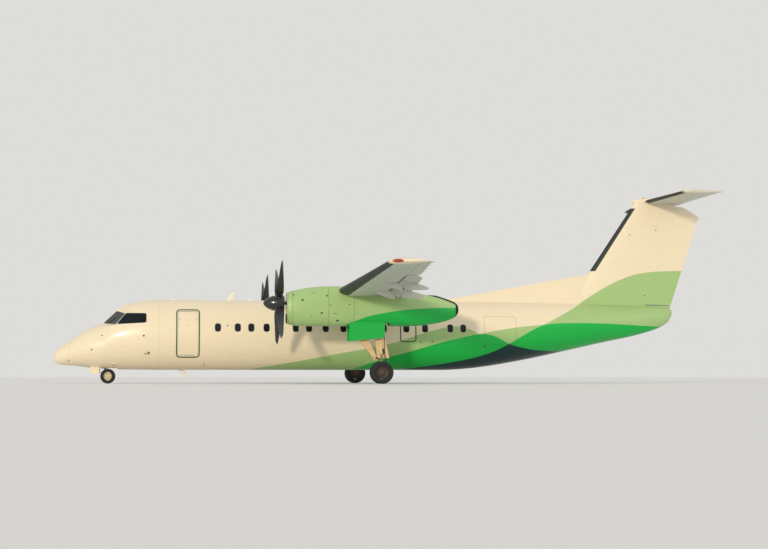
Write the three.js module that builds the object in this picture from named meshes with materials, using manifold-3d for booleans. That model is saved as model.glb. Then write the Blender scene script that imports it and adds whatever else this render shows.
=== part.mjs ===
// A fifty-seat twin turboprop airliner with a high wing and a T tail, parked on its gear.
// Sizes are millimetres. x runs aft from the nose tip, y to starboard and z up from the cabin's
// centreline. The outer group moves that frame to the middle of the stand, with the floor at z = 0.
import * as THREE from 'three';
import { mergeVertices } from 'three/addons/utils/BufferGeometryUtils.js';
import Module from 'manifold-3d';

const wasm = await Module();
wasm.setup();

// Driving dimensions
const length = 25680;
const span = 27430;
const cabinRadius = 1345;
const cabinHeight = 1870;
const seam = 0.3;
const wheelbase = 10010;
const track = 7880;
const propellerDiameter = 3960;
const tailSpan = 7920;

const engineY = track / 2;
const hubHeight = 1060;
const propellerX = 8300;

const mainTyre = { radius: 410, width: 240, offset: 215, rim: 235 };
const noseTyre = { radius: 280, width: 165, offset: 140, rim: 150 };
const mainWheelX = 12060;
const noseWheelX = mainWheelX - wheelbase;
const mainWheelZ = mainTyre.radius - cabinHeight;
const noseWheelZ = noseTyre.radius - cabinHeight;

const doorway = { front: 4680, back: 5440, sill: -810, head: 862, depth: 400 };
const bossRadius = 10;
const bossGap = 0.9;
const flapSet = 15;
const flapPivot = { part: 0.78, drop: 400 };

const paint = {
  cream: 0xefdeb8, pale: 0xb4ce8c, bright: 0x2cc456, dark: 0x0b3f36, grey: 0xa9aaa2,
  black: 0x16181c, rubber: 0x1b1d20, steel: 0x9aa0a6, hub: 0x7a7268, glass: 0x16202c, tan: 0xe8d3a4,
};

// Fuselage stations: x, top, bottom, half width
const fuselageStations = [
  [0, -870, -910, 20],
  [30, -765, -1010, 130],
  [120, -610, -1110, 270],
  [300, -450, -1160, 410],
  [620, -235, -1180, 560],
  [910, -30, -1205, 700],
  [1230, 170, -1245, 830],
  [1550, 335, -1285, 935],
  [1875, 480, -1312, 1020],
  [2180, 900, -1322, 1100],
  [2500, 1090, -1328, 1170],
  [2820, 1180, -1333, 1235],
  [3140, 1265, -1337, 1285],
  [3460, 1310, -1341, 1320],
  [4090, cabinRadius, -cabinRadius, cabinRadius],
  [15000, cabinRadius, -cabinRadius, cabinRadius],
  [16000, cabinRadius, -1290, 1338],
  [16800, 1343, -1195, 1310],
  [18400, 1338, -920, 1190],
  [20000, 1325, -580, 990],
  [21600, 1300, -230, 740],
  [22800, 1270, 20, 520],
  [23800, 1220, 310, 310],
  [24200, 1185, 520, 200],
  [24400, 1120, 760, 110],
  [24460, 1060, 880, 40],
];
const windscreenRings = [2000, 2090, 2260, 2350, 2420, 2600, 2700];

// Nacelle stations: x, top, bottom, half width
const nacelleStations = [
  [8560, 1440, 330, 450],
  [8640, 1480, 285, 485],
  [9000, 1565, 240, 525],
  [9500, 1650, 230, 540],
  [10100, 1690, 230, 540],
  [12400, 1680, 235, 540],
  [13100, 1570, 245, 520],
  [13650, 1415, 285, 465],
  [14100, 1325, 355, 385],
  [14500, 1200, 455, 290],
  [14800, 1080, 590, 190],
  [14920, 960, 740, 80],
];
const firewallX = 11000;

// Wing stations: y, leading edge x, chord, z of the chord line, thickness over chord
const wingRoot = [0, 10420, 2460, 1490, 0.18];
const wingBreak = [4500, 10420, 2460, 1490, 0.18];
const wingEnd = [13560, 10930, 1330, 1900, 0.13];
const wingTip = [span / 2, 11120, 1020, 1912, 0.07];
const wingCamber = 0.018;

// Tailplane stations, with the same columns
const tailRoot = [0, 23310, 1790, 5450, 0.12];
const tailEnd = [3860, 23735, 1480, 5450, 0.1];
const tailTip = [tailSpan / 2, 23900, 1290, 5450, 0.05];

// Fin stations: z, leading edge x, trailing edge x, half thickness
const finStations = [
  [1000, 19980, 24340, 235],
  [2500, 20995, 24850, 205],
  [5330, 22915, 25813, 150],
];
const rudder = { foot: 1290, hingeFoot: 23370, hingeHead: 24735, head: 5290, tab: 460 };

function solidOf(geometry) {
  const bare = geometry.clone();
  bare.deleteAttribute('normal');
  bare.deleteAttribute('uv');
  const merged = mergeVertices(bare, 0.001);
  const vertProperties = new Float32Array(merged.attributes.position.array);
  const triVerts = new Uint32Array(merged.index.array);
  return new wasm.Manifold(new wasm.Mesh({ numProp: 3, vertProperties, triVerts }));
}

function geometryOf(solid) {
  const { vertProperties, triVerts } = solid.getMesh();
  const geometry = new THREE.BufferGeometry();
  geometry.setAttribute('position', new THREE.BufferAttribute(vertProperties, 3));
  geometry.setIndex(new THREE.BufferAttribute(triVerts, 1));
  geometry.computeVertexNormals();
  return geometry;
}

// A closed body carried along rings of the same number of points, with a fan over each end
function loft(rings) {
  const size = rings[0].length;
  const centre = (ring) => [0, 1, 2].map((axis) => ring.reduce((sum, p) => sum + p[axis], 0) / size);
  const points = [...rings.flat(), centre(rings[0]), centre(rings.at(-1))];
  const startHub = rings.length * size;
  const endHub = startHub + 1;
  const last = (rings.length - 1) * size;
  let faces = [];
  for (let i = 0; i < size; i++) {
    const next = (i + 1) % size;
    for (let row = 0; row < last; row += size) {
      faces.push([row + i, row + next, row + size + next], [row + i, row + size + next, row + size + i]);
    }
    faces.push([startHub, next, i], [endHub, last + i, last + next]);
  }
  const corner = (index) => new THREE.Vector3(...points[index]);
  const volume = faces.reduce((sum, [a, b, c]) => sum + corner(a).dot(corner(b).cross(corner(c))), 0);
  if (volume < 0) faces = faces.map(([a, b, c]) => [a, c, b]);
  const geometry = new THREE.BufferGeometry();
  geometry.setAttribute('position', new THREE.Float32BufferAttribute(points.flat(), 3));
  geometry.setIndex(faces.flat());
  return solidOf(geometry);
}

function block(x0, x1, y0, y1, z0, z1) {
  const geometry = new THREE.BoxGeometry(x1 - x0, Math.abs(y1 - y0), z1 - z0);
  return solidOf(geometry.translate((x0 + x1) / 2, (y0 + y1) / 2, (z0 + z1) / 2));
}

function rod(from, to, radius, sides = 16, endRadius = radius) {
  const start = new THREE.Vector3(...from);
  const end = new THREE.Vector3(...to);
  const run = end.clone().sub(start);
  const geometry = new THREE.CylinderGeometry(endRadius, radius, run.length(), sides);
  const turn = new THREE.Quaternion().setFromUnitVectors(new THREE.Vector3(0, 1, 0), run.normalize());
  geometry.applyQuaternion(turn);
  return solidOf(geometry.translate(...start.add(end).multiplyScalar(0.5)));
}

// A round body about an axis along y through (x, y, z), from a closed outline of (offset, radius),
// turned half a side round so that a flat side faces the ground
const wheelSides = 20;
const halfSide = Math.PI / wheelSides;

function wheelBody(outline, x, y, z) {
  const profile = outline.map(([offset, radius]) => new THREE.Vector2(radius, offset));
  const geometry = new THREE.LatheGeometry(profile, wheelSides, halfSide);
  return solidOf(geometry.translate(x, y, z));
}

const join = (first, ...others) => others.reduce((sum, other) => sum.add(other), first);
const cut = (first, ...tools) => tools.reduce((rest, tool) => rest.subtract(tool), first);

function valueAt(stations, x, column) {
  const after = stations.findIndex((row) => row[0] >= x);
  if (after <= 0) return stations[0][column];
  const [low, high] = [stations[after - 1], stations[after]];
  const part = (x - low[0]) / (high[0] - low[0]);
  return low[column] + part * (high[column] - low[column]);
}

// The two flat windscreen panes stand in a V; these are the starboard pane's corners
const windscreen = {
  foot: [1880, 55, 446],
  crown: [2370, 55, 897],
  brow: [2690, 770, 786],
  post: [2345, 935, 366],
};
const paneCorners = Object.values(windscreen).map((corner) => new THREE.Vector3(...corner));
const panePlane = new THREE.Plane().setFromCoplanarPoints(paneCorners[0], paneCorners[3], paneCorners[2]);
if (panePlane.normal.z < 0) panePlane.negate();

// Height that the nose stays under: the sloping deck before the windscreen's sill, the panes behind it
const deckSlope = 0.3;
function noseLimit(x, y) {
  const across = y / windscreen.post[1];
  const sillX = windscreen.foot[0] + across * (windscreen.post[0] - windscreen.foot[0]);
  const sillZ = windscreen.foot[2] + across * (windscreen.post[2] - windscreen.foot[2]);
  if (x < windscreen.foot[0] - 10 || x > 2830) return Infinity;
  if (x < sillX) return sillZ - (sillX - x) * deckSlope;
  const { normal, constant } = panePlane;
  return -(normal.x * x + normal.y * y + constant) / normal.z;
}

function fuselageRing(x, grow, sides = 24) {
  const [top, bottom, half] = [1, 2, 3].map((column) => valueAt(fuselageStations, x, column));
  const centre = (top + bottom) / 2;
  return Array.from({ length: sides }, (_, i) => {
    const angle = (i / sides) * 2 * Math.PI;
    const y = (half + grow) * Math.sin(angle);
    const z = centre + ((top - bottom) / 2 + grow) * Math.cos(angle);
    return [x, y, Math.min(z, noseLimit(x, Math.abs(y)) + grow)];
  });
}

function fuselageBody(from, to, grow = 0) {
  const inside = fuselageStations.map((row) => row[0]).concat(windscreenRings)
    .filter((x) => x > from && x < to);
  const places = [from, ...inside, to].sort((a, b) => a - b);
  return loft(places.map((x) => fuselageRing(x, grow)));
}

// An egg-shaped ring: an ellipse made squarer, so that flat-sided cowlings keep soft corners
function nacelleRing(x, grow, y, sides = 20) {
  const [top, bottom, half] = [1, 2, 3].map((column) => valueAt(nacelleStations, x, column));
  const soften = (value) => Math.sign(value) * Math.abs(value) ** 0.82;
  return Array.from({ length: sides }, (_, i) => {
    const angle = (i / sides) * 2 * Math.PI;
    const out = (half + grow) * soften(Math.sin(angle));
    return [x, y + out, (top + bottom) / 2 + ((top - bottom) / 2 + grow) * soften(Math.cos(angle))];
  });
}

function nacelleBody(from, to, y, grow = 0) {
  const inside = nacelleStations.map((row) => row[0]).filter((x) => x > from && x < to);
  return loft([from, ...inside, to].map((x) => nacelleRing(x, grow, y)));
}

// Half thickness over chord at a part x of the chord, of a section with a sharp trailing edge
function halfThickness(x, thick) {
  const curve = 0.2969 * Math.sqrt(x) - 0.126 * x - 0.3516 * x ** 2 + 0.2843 * x ** 3 - 0.1036 * x ** 4;
  return 5 * thick * curve + 0.001 * x;
}
const camberAt = (x, camber) => 4 * camber * x * (1 - x);

// A section's outline as [part of chord, height over chord], over the top from the trailing edge
function foilOutline(thick, camber, count = 10) {
  const parts = Array.from({ length: count + 1 }, (_, i) => (1 + Math.cos((i / count) * Math.PI)) / 2);
  const over = parts.map((x) => [x, camberAt(x, camber) + halfThickness(x, thick)]);
  const under = parts.slice(1, -1).reverse().map((x) => [x, camberAt(x, camber) - halfThickness(x, thick)]);
  return [...over, ...under, [1, -halfThickness(1, thick)]];
}

// The outline aft of a hinge, with a nose rounded about that hinge
function surfaceOutline(thick, camber, hinge, count = 4, noseCount = 4) {
  const parts = Array.from({ length: count }, (_, i) => 1 - (i / count) * (1 - hinge));
  const over = parts.map((x) => [x, camberAt(x, camber) + halfThickness(x, thick)]);
  const under = parts.map((x) => [x, camberAt(x, camber) - halfThickness(x, thick)]).reverse();
  const radius = halfThickness(hinge, thick);
  const nose = Array.from({ length: noseCount + 1 }, (_, i) => {
    const angle = Math.PI / 2 + (i / noseCount) * Math.PI;
    return [hinge + radius * Math.cos(angle), camberAt(hinge, camber) + radius * Math.sin(angle)];
  });
  return [...over, ...nose, ...under];
}

function between(low, high, y) {
  const part = (y - low[0]) / (high[0] - low[0]);
  return low.map((value, column) => value + part * (high[column] - value));
}

function placeOutline([y, lead, chord, z], outline, side, grow = 0) {
  return outline.map(([x, height]) => [
    lead + x * chord, side * y, z + height * chord + Math.sign(height) * grow]);
}

function foilBody(stations, camber, side, grow = 0) {
  return loft(stations.map((station) => placeOutline(station, foilOutline(station[4], camber), side, grow)));
}

// A hinged surface between two stations of a wing, in its stowed place
function surfaceBody(ends, camber, hinge, side) {
  return loft(ends.map((station) => placeOutline(station, surfaceOutline(station[4], camber, hinge), side)));
}

// Round bosses on the hinge line that reach from the bay's end walls to the surface's ends
function hingeBosses(ends, camber, hinge, gap, side) {
  const points = ends.map(([y, lead, chord, z]) => new THREE.Vector3(
    lead + hinge * chord, side * y, z + camberAt(hinge, camber) * chord));
  return points.map((point, end) => {
    const away = point.clone().sub(points[1 - end]).normalize();
    const near = point.clone().addScaledVector(away, bossGap);
    const far = point.clone().addScaledVector(away, gap + 25);
    return rod(far.toArray(), near.toArray(), bossRadius, 10);
  });
}

// What is cut out of the wing for a hinged surface: from just before its nose to past its tail
function surfaceBay(ends, hinge, gap, side) {
  const rings = ends.map(([y, lead, chord, z, thick], end) => {
    const front = lead + (hinge - halfThickness(hinge, thick)) * chord - gap;
    const edge = side * (y + (end === 0 ? -gap : gap));
    const back = lead + chord + 300;
    return [[front, edge, z - 500], [back, edge, z - 500], [back, edge, z + 500], [front, edge, z + 500]];
  });
  return loft(rings);
}

const airliner = new THREE.Group();
const stand = new THREE.Group();
stand.position.set(-length / 2, 0, cabinHeight);
airliner.add(stand);

function addPart(name, solid, color, roughness = 0.45, metalness = 0.1, parent = stand) {
  const material = new THREE.MeshStandardMaterial({ color, roughness, metalness });
  const mesh = new THREE.Mesh(geometryOf(solid), material);
  mesh.name = name;
  parent.add(mesh);
  return mesh;
}

// Places a solid turned about a hinge line: the group's origin is on the line
function addTurned(name, solid, point, axis, degrees, color) {
  const group = new THREE.Group();
  group.position.set(...point);
  group.quaternion.setFromAxisAngle(axis, THREE.MathUtils.degToRad(degrees));
  stand.add(group);
  addPart(name, solid.translate(point.map((value) => -value)), color, 0.5, 0.2, group);
}

const sides = [['left', -1], ['right', 1]];
const tailConeX = 24460;
const radomeX = 620;

// Wing: one centre panel over the cabin and the nacelles, and two outer panels
const flapGap = 30;
const surfaceGap = 12;
const flapHinge = 0.745;
const aileronHinge = 0.77;
const innerFlap = [between(wingRoot, wingBreak, 1500), between(wingRoot, wingBreak, 3330)];
const outerFlap = [between(wingBreak, wingEnd, 4600), between(wingBreak, wingEnd, 10020)];
const aileron = [between(wingBreak, wingEnd, 10120), between(wingBreak, wingEnd, 13220)];

const stationAt = (y) => (
  y <= wingBreak[0] ? between(wingRoot, wingBreak, y) : between(wingBreak, wingEnd, y));
const pivotAt = (y, side) => {
  const [, lead, chord, z] = stationAt(y);
  const drop = flapPivot.drop * (chord / wingRoot[2]);
  return new THREE.Vector3(lead + flapPivot.part * chord, side * y, z - drop);
};

// The turning line's run at span y, as a step outwards that is 1 mm across
const flapAxis = (y, side) => {
  const ends = (y < wingBreak[0] ? innerFlap : outerFlap).map(([place]) => pivotAt(place, side));
  const run = ends[1].clone().sub(ends[0]);
  return run.divideScalar(Math.abs(run.y));
};

// A blister's rows are part of the chord, half width, and the depths of its top and bottom below
// the chord line, as parts of the pivot's depth
function blister(y, side, rows) {
  const [, lead, chord, z] = stationAt(y);
  const deep = flapPivot.drop * (chord / wingRoot[2]);
  return loft(rows.map(([part, half, top, bottom]) => {
    const x = lead + part * chord;
    const [high, low] = [z - top * deep, z - bottom * deep];
    return [[x, side * y - half, high], [x, side * y + half, high], [x, side * y + half * 0.6, low],
      [x, side * y - half * 0.6, low]];
  }));
}

// The fixed half of a flap track's fairing, with the pin that carries the flap's arm. The pin lies
// across, with its free end on the flap's turning line
function trackFairing(y, side) {
  const pivot = pivotAt(y, side);
  const tip = pivot.clone().add(flapAxis(y, side).multiplyScalar(armPlace));
  const body = blister(y, side, [[0.36, 10, 0.05, 0.2], [0.5, 42, 0.05, 0.55], [0.655, 56, 0.05, 0.95],
    [0.67, 56, 0.4, 0.98], [0.765, 50, 0.55, 1.14], [0.8, 40, 0.7, 1.12]]);
  return join(body, rod([tip.x, pivot.y, tip.z], [tip.x, tip.y, tip.z], pinRadius, 12));
}

// The flap's arm beside the fixed fairing, and the half of the fairing that rides under the flap
const armPlace = 70;
const armThick = 24;
const pinRadius = 12;
const pinGap = 0.6;
function flapArm(y, side) {
  const pivot = pivotAt(y, side);
  const [, lead, chord, z] = stationAt(y);
  const place = (across) => [[pivot.x - 32, pivot.z - 30], [pivot.x + 40, pivot.z - 30],
    [lead + 0.92 * chord, z - 0.01 * chord], [lead + 0.79 * chord, z - 0.015 * chord]]
    .map(([x, height]) => [x, pivot.y + side * across, height]);
  const arm = loft([place(armPlace + pinGap), place(armPlace + armThick)]);
  const tail = blister(y, side, [[0.86, 46, 0.05, 0.8], [0.98, 46, 0.02, 0.72], [1.12, 30, 0.05, 0.5],
    [1.2, 12, 0.1, 0.3]]);
  const tie = blister(y, side, [[0.86, 75, 0.08, 0.3], [0.93, 75, 0.05, 0.3]]);
  return join(arm, tail, tie);
}

function addFlap(name, ends, tracks, side) {
  const pivots = ends.map(([y]) => pivotAt(y, side));
  const axis = pivots[1].clone().sub(pivots[0]).multiplyScalar(side).normalize();
  const arms = tracks.map((y) => flapArm(y, side));
  const solid = join(surfaceBody(ends, wingCamber, flapHinge, side), ...arms);
  addTurned(name, solid, pivots[0].toArray(), axis, flapSet, paint.grey);
}
const outerTracks = [5950, 8350];
const innerTracks = [1780, 3020];

const centreFoil = [wingRoot, wingBreak].map((station, end) => {
  const row = [...station];
  row[0] = end === 0 ? -wingBreak[0] : wingBreak[0];
  return row;
});
const jackPad = { y: 5200, half: 70, thick: 14 };

function outerPanel(side) {
  const innerEnd = [...wingBreak];
  innerEnd[0] += seam;
  const panel = foilBody([innerEnd, wingEnd, wingTip], wingCamber, side);
  const tracks = outerTracks.map((y) => trackFairing(y, side));
  const [, lead, chord, z] = between(wingBreak, wingEnd, jackPad.y);
  const padX = lead + 0.38 * chord;
  const padZ = z - 0.083 * chord;
  const pad = block(padX - jackPad.half, padX + jackPad.half, side * jackPad.y - jackPad.half,
    side * jackPad.y + jackPad.half, padZ - jackPad.thick, padZ + 60);
  const aileronBay = surfaceBay(aileron, aileronHinge, surfaceGap, side);
  const whole = cut(panel, surfaceBay(outerFlap, flapHinge, flapGap, side), aileronBay);
  return join(whole, pad, ...tracks, ...hingeBosses(aileron, wingCamber, aileronHinge, surfaceGap, side));
}

const centreCut = cut(
  foilBody(centreFoil, wingCamber, 1),
  ...sides.map(([, side]) => surfaceBay(innerFlap, flapHinge, flapGap, side)),
);
const centreTracks = sides.flatMap(([, side]) => innerTracks.map((y) => trackFairing(y, side)));
const centrePanel = join(centreCut, ...centreTracks);
const centreWide = centreFoil.map((row) => [Math.sign(row[0]) * 4700, ...row.slice(1)]);
const centreTool = foilBody(centreWide, wingCamber, 1, seam);
const centreRoom = join(centreTool, block(10410, 10440, -4700, 4700, 1470, 1510));

// Fuselage with its bays and panes
const noseBay = { front: 1400, back: 2420, half: 300, roof: -760 };
const sidePaneOutline = [[2425, 372], [2765, 800], [3465, 782], [3470, 425]];
const paneDepth = 20;

function sidePanePrism(side, scale) {
  const middle = [0, 1].map((axis) => sidePaneOutline.reduce((sum, p) => sum + p[axis], 0) / 4);
  const place = (y) => sidePaneOutline.map(([x, z]) => [
    middle[0] + (x - middle[0]) * scale, side * y, middle[1] + (z - middle[1]) * scale]);
  return loft([place(500), place(1500)]);
}

function frontPanePrism(side, scale, depth) {
  const middle = paneCorners.reduce((sum, p) => sum.add(p), new THREE.Vector3()).divideScalar(4);
  const place = (push) => paneCorners.map((corner) => {
    const point = middle.clone().lerp(corner, scale).addScaledVector(panePlane.normal, push);
    return [point.x, side * point.y, point.z];
  });
  return loft([place(-depth), place(120)]);
}

const blade = (x0, x1, lean, z0, z1, half) => loft([
  [[x0, -half, z0], [x1, -half, z0], [x1, half, z0], [x0, half, z0]],
  [[x0 + lean, -half / 2, z1], [x1 + lean * 0.7, -half / 2, z1], [x1 + lean * 0.7, half / 2, z1],
    [x0 + lean, half / 2, z1]],
]);
const antennas = [
  blade(6600, 6820, 90, 1300, 1610, 16),
  blade(4800, 5020, 250, -1300, -1560, 22),
];
const nosePad = block(3130, 3270, -70, 70, -1355, -1300);

const hinge = { y: -1100, z: -825, radius: 12 };
const knuckles = [4790, 5250];
const bodyKnuckle = (x) => join(
  rod([x, hinge.y, hinge.z], [x + 80, hinge.y, hinge.z], hinge.radius, 12),
  block(x, x + 80, hinge.y - 12, -1030, -845, -829),
);
const doorwayRoom = block(doorway.front, doorway.back, -1600, -doorway.depth, doorway.sill, doorway.head);

const wholeBody = fuselageBody(radomeX + seam, tailConeX);
const fuselage = cut(
  join(wholeBody, ...antennas, nosePad),
  doorwayRoom,
  block(noseBay.front, noseBay.back, -noseBay.half, noseBay.half, -1500, noseBay.roof),
  centreRoom,
  ...sides.map(([, side]) => cut(sidePanePrism(side, 1.006), fuselageBody(radomeX, 5000, -paneDepth - seam))),
  ...sides.map(([, side]) => frontPanePrism(side, 1.006, paneDepth + seam)),
);
addPart('fuselage', join(fuselage, ...knuckles.map(bodyKnuckle)), paint.cream);
addPart('radome', fuselageBody(0, radomeX), paint.cream);
for (const [name, side] of sides) {
  const skin = fuselageBody(radomeX, 5000);
  const inner = fuselageBody(radomeX, 5000, -paneDepth);
  addPart(`windscreen_${name}`, frontPanePrism(side, 0.996, paneDepth).intersect(skin), paint.glass, 0.1);
  addPart(`side_window_${name}`, cut(sidePanePrism(side, 1).intersect(skin), inner), paint.glass, 0.1);
}

// Airstair door: a curved leaf with its treads, hinged along the sill
const leafDepth = 70;
const leafBox = block(doorway.front + 8, doorway.back - 8, -1600, -600, doorway.sill + 10, doorway.head - 12);
const leaf = cut(leafBox.intersect(fuselageBody(4100, 6000)), fuselageBody(4095, 6005, -leafDepth));
const treadHeights = [-560, -270, 20, 310, 600];
const treads = treadHeights.map((z) => {
  const skinY = Math.sqrt((cabinRadius - leafDepth) ** 2 - z ** 2);
  return block(doorway.front + 90, doorway.back - 90, -skinY - 20, -skinY + 130, z - 15, z + 15);
});
const leafKnuckle = (x) => join(
  rod([x + 80.5, hinge.y, hinge.z], [x + 150, hinge.y, hinge.z], hinge.radius, 12),
  block(x + 80.5, x + 150, hinge.y - 12, -1088, hinge.z - 8, -770),
  block(x + 80.5, x + 150, hinge.y - 12, -1070, -797, -770),
);
addPart('airstair_door', join(leaf, ...treads, ...knuckles.map(leafKnuckle)), paint.cream);

// Fairing where the wing crosses the cabin roof: x, top, half width at the roof
const fairingRows = [[9250, 1330, 300], [9800, 1530, 720], [10350, 1700, 950], [11200, 1830, 1060],
  [12300, 1770, 1060], [13300, 1560, 900], [14100, 1420, 560], [14500, 1335, 250]];
const fairing = loft(fairingRows.map(([x, top, half]) => {
  const floor = 700;
  const arc = Array.from({ length: 13 }, (_, i) => {
    const angle = (i / 12) * Math.PI;
    return [x, half * Math.cos(angle), floor + (top - floor) * Math.sin(angle) ** 0.6];
  });
  return arc;
}));
const aroundCabin = cut(fairing, fuselageBody(8000, 16000, seam), centreRoom);
const fairingPieces = aroundCabin.decompose().sort((a, b) => b.volume() - a.volume());
addPart('wing_fairing', fairingPieces[0], paint.cream);

addPart('wing_center', centrePanel, paint.grey);
for (const [name, side] of sides) {
  addPart(`wing_${name}`, outerPanel(side), paint.grey);
  addFlap(`flap_inner_${name}`, innerFlap, innerTracks, side);
  addFlap(`flap_outer_${name}`, outerFlap, outerTracks, side);
  addPart(`aileron_${name}`, surfaceBody(aileron, wingCamber, aileronHinge, side), paint.grey);
}

// Nacelles: a cowling round the engine, and a rear body with the wheel well
const engine = { front: 8800, back: firewallX - seam, half: 320, low: 480, high: 1260 };
const intake = { front: 8400, back: 9050, half: 210, low: 340, high: 650 };
const well = { front: 10900, back: 12330, half: 340, roof: 900 };
const propellerBack = 8480;
const shaftRadius = 60;

for (const [name, side] of sides) {
  const y = side * engineY;
  const cowl = cut(
    nacelleBody(8560, firewallX - seam, y),
    block(engine.front - 60, firewallX + 1, y - engine.half - 40, y + engine.half + 40,
      engine.low - 40, engine.high + 40),
    rod([8500, y, hubHeight], [8900, y, hubHeight], shaftRadius + 30, 16),
    block(intake.front, intake.back, y - intake.half, y + intake.half, intake.low, intake.high - 150),
    rod([intake.front, y, intake.high - 155], [intake.back, y, intake.high - 155], 150, 16),
    centreRoom,
  );
  addPart(`cowl_${name}`, cowl, paint.pale);
  const engineBlock = join(
    block(engine.front, engine.back, y - engine.half, y + engine.half, engine.low, engine.high),
    rod([propellerBack + seam, y, hubHeight], [engine.front + 10, y, hubHeight], shaftRadius, 16),
  );
  addPart(`engine_${name}`, engineBlock, paint.steel, 0.5, 0.6);

  const rear = cut(
    nacelleBody(firewallX, 14920, y),
    block(firewallX - 10, well.back, y - well.half, y + well.half, 100, well.roof),
    centreRoom,
    block(13780, 15100, y - 130, y + 130, 880, 1500),
  );
  const rearPieces = rear.decompose().sort((a, b) => b.volume() - a.volume());
  addPart(`nacelle_${name}`, rearPieces[0], paint.bright);
  const outlet = nacelleBody(13780 + seam, 14915, y, 12)
    .intersect(block(13780 + seam, 14915, y - 130 + seam, y + 130 - seam, 880 + seam, 1500));
  addPart(`exhaust_${name}`, cut(outlet, block(14250, 15000, y - 95, y + 95, 930, 1120)), paint.black, 0.6);
}

// Propellers: radius, chord, blade angle from the disc and thickness of each blade section
const bladeRows = [[230, 150, 72, 100], [420, 330, 64, 62], [900, 330, 48, 38], [1500, 265, 34, 22],
  [1900, 160, 27, 9], [propellerDiameter / 2, 40, 25, 4]];
const bladeTurn = 42;

function bladeSolid(turn) {
  const rings = bladeRows.map(([radius, chord, angle, thick]) => {
    const pitch = THREE.MathUtils.degToRad(angle);
    return Array.from({ length: 6 }, (_, i) => {
      const around = (i / 6) * 2 * Math.PI;
      const along = (chord / 2) * Math.cos(around);
      const across = (thick / 2) * Math.sin(around);
      const x = along * Math.sin(pitch) + across * Math.cos(pitch);
      const y = along * Math.cos(pitch) - across * Math.sin(pitch);
      return [x, y, radius];
    });
  });
  return loft(rings).rotate([turn, 0, 0]);
}

const barrel = { front: 8170, radius: 295 };
const spinnerRows = [[0, 0], [7, 38], [40, 95], [120, 168], [250, 236], [380, 275], [450 - seam, 288]];

for (const [name, side] of sides) {
  const y = side * engineY;
  const hub = rod([barrel.front, 0, 0], [propellerBack, 0, 0], 288, 24, barrel.radius);
  const blades = [0, 1, 2, 3].map((quarter) => (
    bladeSolid(bladeTurn + quarter * 90).translate([propellerX, 0, 0])));
  addPart(`propeller_${name}`, join(hub, ...blades).translate([0, y, hubHeight]), paint.black, 0.4);
  const closed = [...spinnerRows, [spinnerRows.at(-1)[0], 0]];
  const profile = closed.map(([x, radius]) => new THREE.Vector2(radius, -x)).reverse();
  const cone = new THREE.LatheGeometry(profile, 24);
  cone.rotateZ(Math.PI / 2).translate(barrel.front - 450, y, hubHeight);
  addPart(`spinner_${name}`, solidOf(cone), paint.black, 0.35);
}

// Main gear: leg with drag brace and bracket, twin wheels on a live axle, two doors.
// Brace, bracket and lug are plates of rows [x, half length, half width, z]
const axleRadius = 45;
const boreRadius = 45.9;
const braceRows = [[11180, 95, 180, well.roof - seam], [11420, 100, 150, 170], [11435, 165, 120, -300],
  [11860, 75, 45, -1000]];
const bracketRows = [[12010, 130, 60, 260], [12015, 195, 55, -300], [12125, 225, 40, -930]];

function mainLeg(y) {
  const plate = (rows) => loft(rows.map(([x, deep, half, z]) => [
    [x - deep, y - half, z], [x + deep, y - half, z], [x + deep, y + half, z], [x - deep, y + half, z]]));
  const bore = [-100, 100].map((across) => [mainWheelX, y + across, mainWheelZ]);
  const solid = join(
    rod([mainWheelX - 50, y, well.roof - 20], [mainWheelX - 10, y, -780], 88, 16),
    block(mainWheelX - 160, mainWheelX + 60, y - 110, y + 110, well.roof - 90, well.roof - seam),
    rod([mainWheelX - 12, y, -700], [mainWheelX, y, mainWheelZ], 58, 16),
    rod([mainWheelX, y - 75, mainWheelZ], [mainWheelX, y + 75, mainWheelZ], 85, 16),
    plate(braceRows),
    plate(bracketRows),
    block(11880, mainWheelX, y - 40, y + 40, -985, -880),
  );
  return cut(solid, rod(...bore, boreRadius, wheelSides));
}

// A tyre's outline as (offset across, radius), round-shouldered, open in the middle for its rim.
// The tread's corners stand out a little, which puts its flat sides at the true radius
function tyreOutline({ radius, width, rim }) {
  const half = width / 2;
  const wall = radius - rim;
  const tread = radius / Math.cos(halfSide);
  return [[-half * 0.7, rim], [-half, rim + wall * 0.4], [-half * 0.8, rim + wall * 0.85],
    [-half * 0.35, tread], [half * 0.35, tread], [half * 0.8, rim + wall * 0.85],
    [half, rim + wall * 0.4], [half * 0.7, rim], [-half * 0.7, rim]];
}

// Two rims on one axle that turns in the leg
function axleHubs(tyre, x, z, axle, boss) {
  const rimEdge = tyre.rim - seam;
  const halfRim = tyre.width * 0.35;
  const inner = tyre.offset - halfRim;
  const outer = tyre.offset + halfRim;
  const half = [[boss, axle], [boss, axle * 1.7], [inner, axle * 2], [inner, rimEdge],
    [outer, rimEdge], [outer - 40, rimEdge * 0.75], [outer - 20, axle * 1.5], [outer + 8, axle * 1.3],
    [outer + 8, 0]];
  const mirrored = half.slice().reverse().map(([offset, radius]) => [-offset, radius]);
  return wheelBody([...mirrored, ...half], x, 0, z);
}

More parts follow.
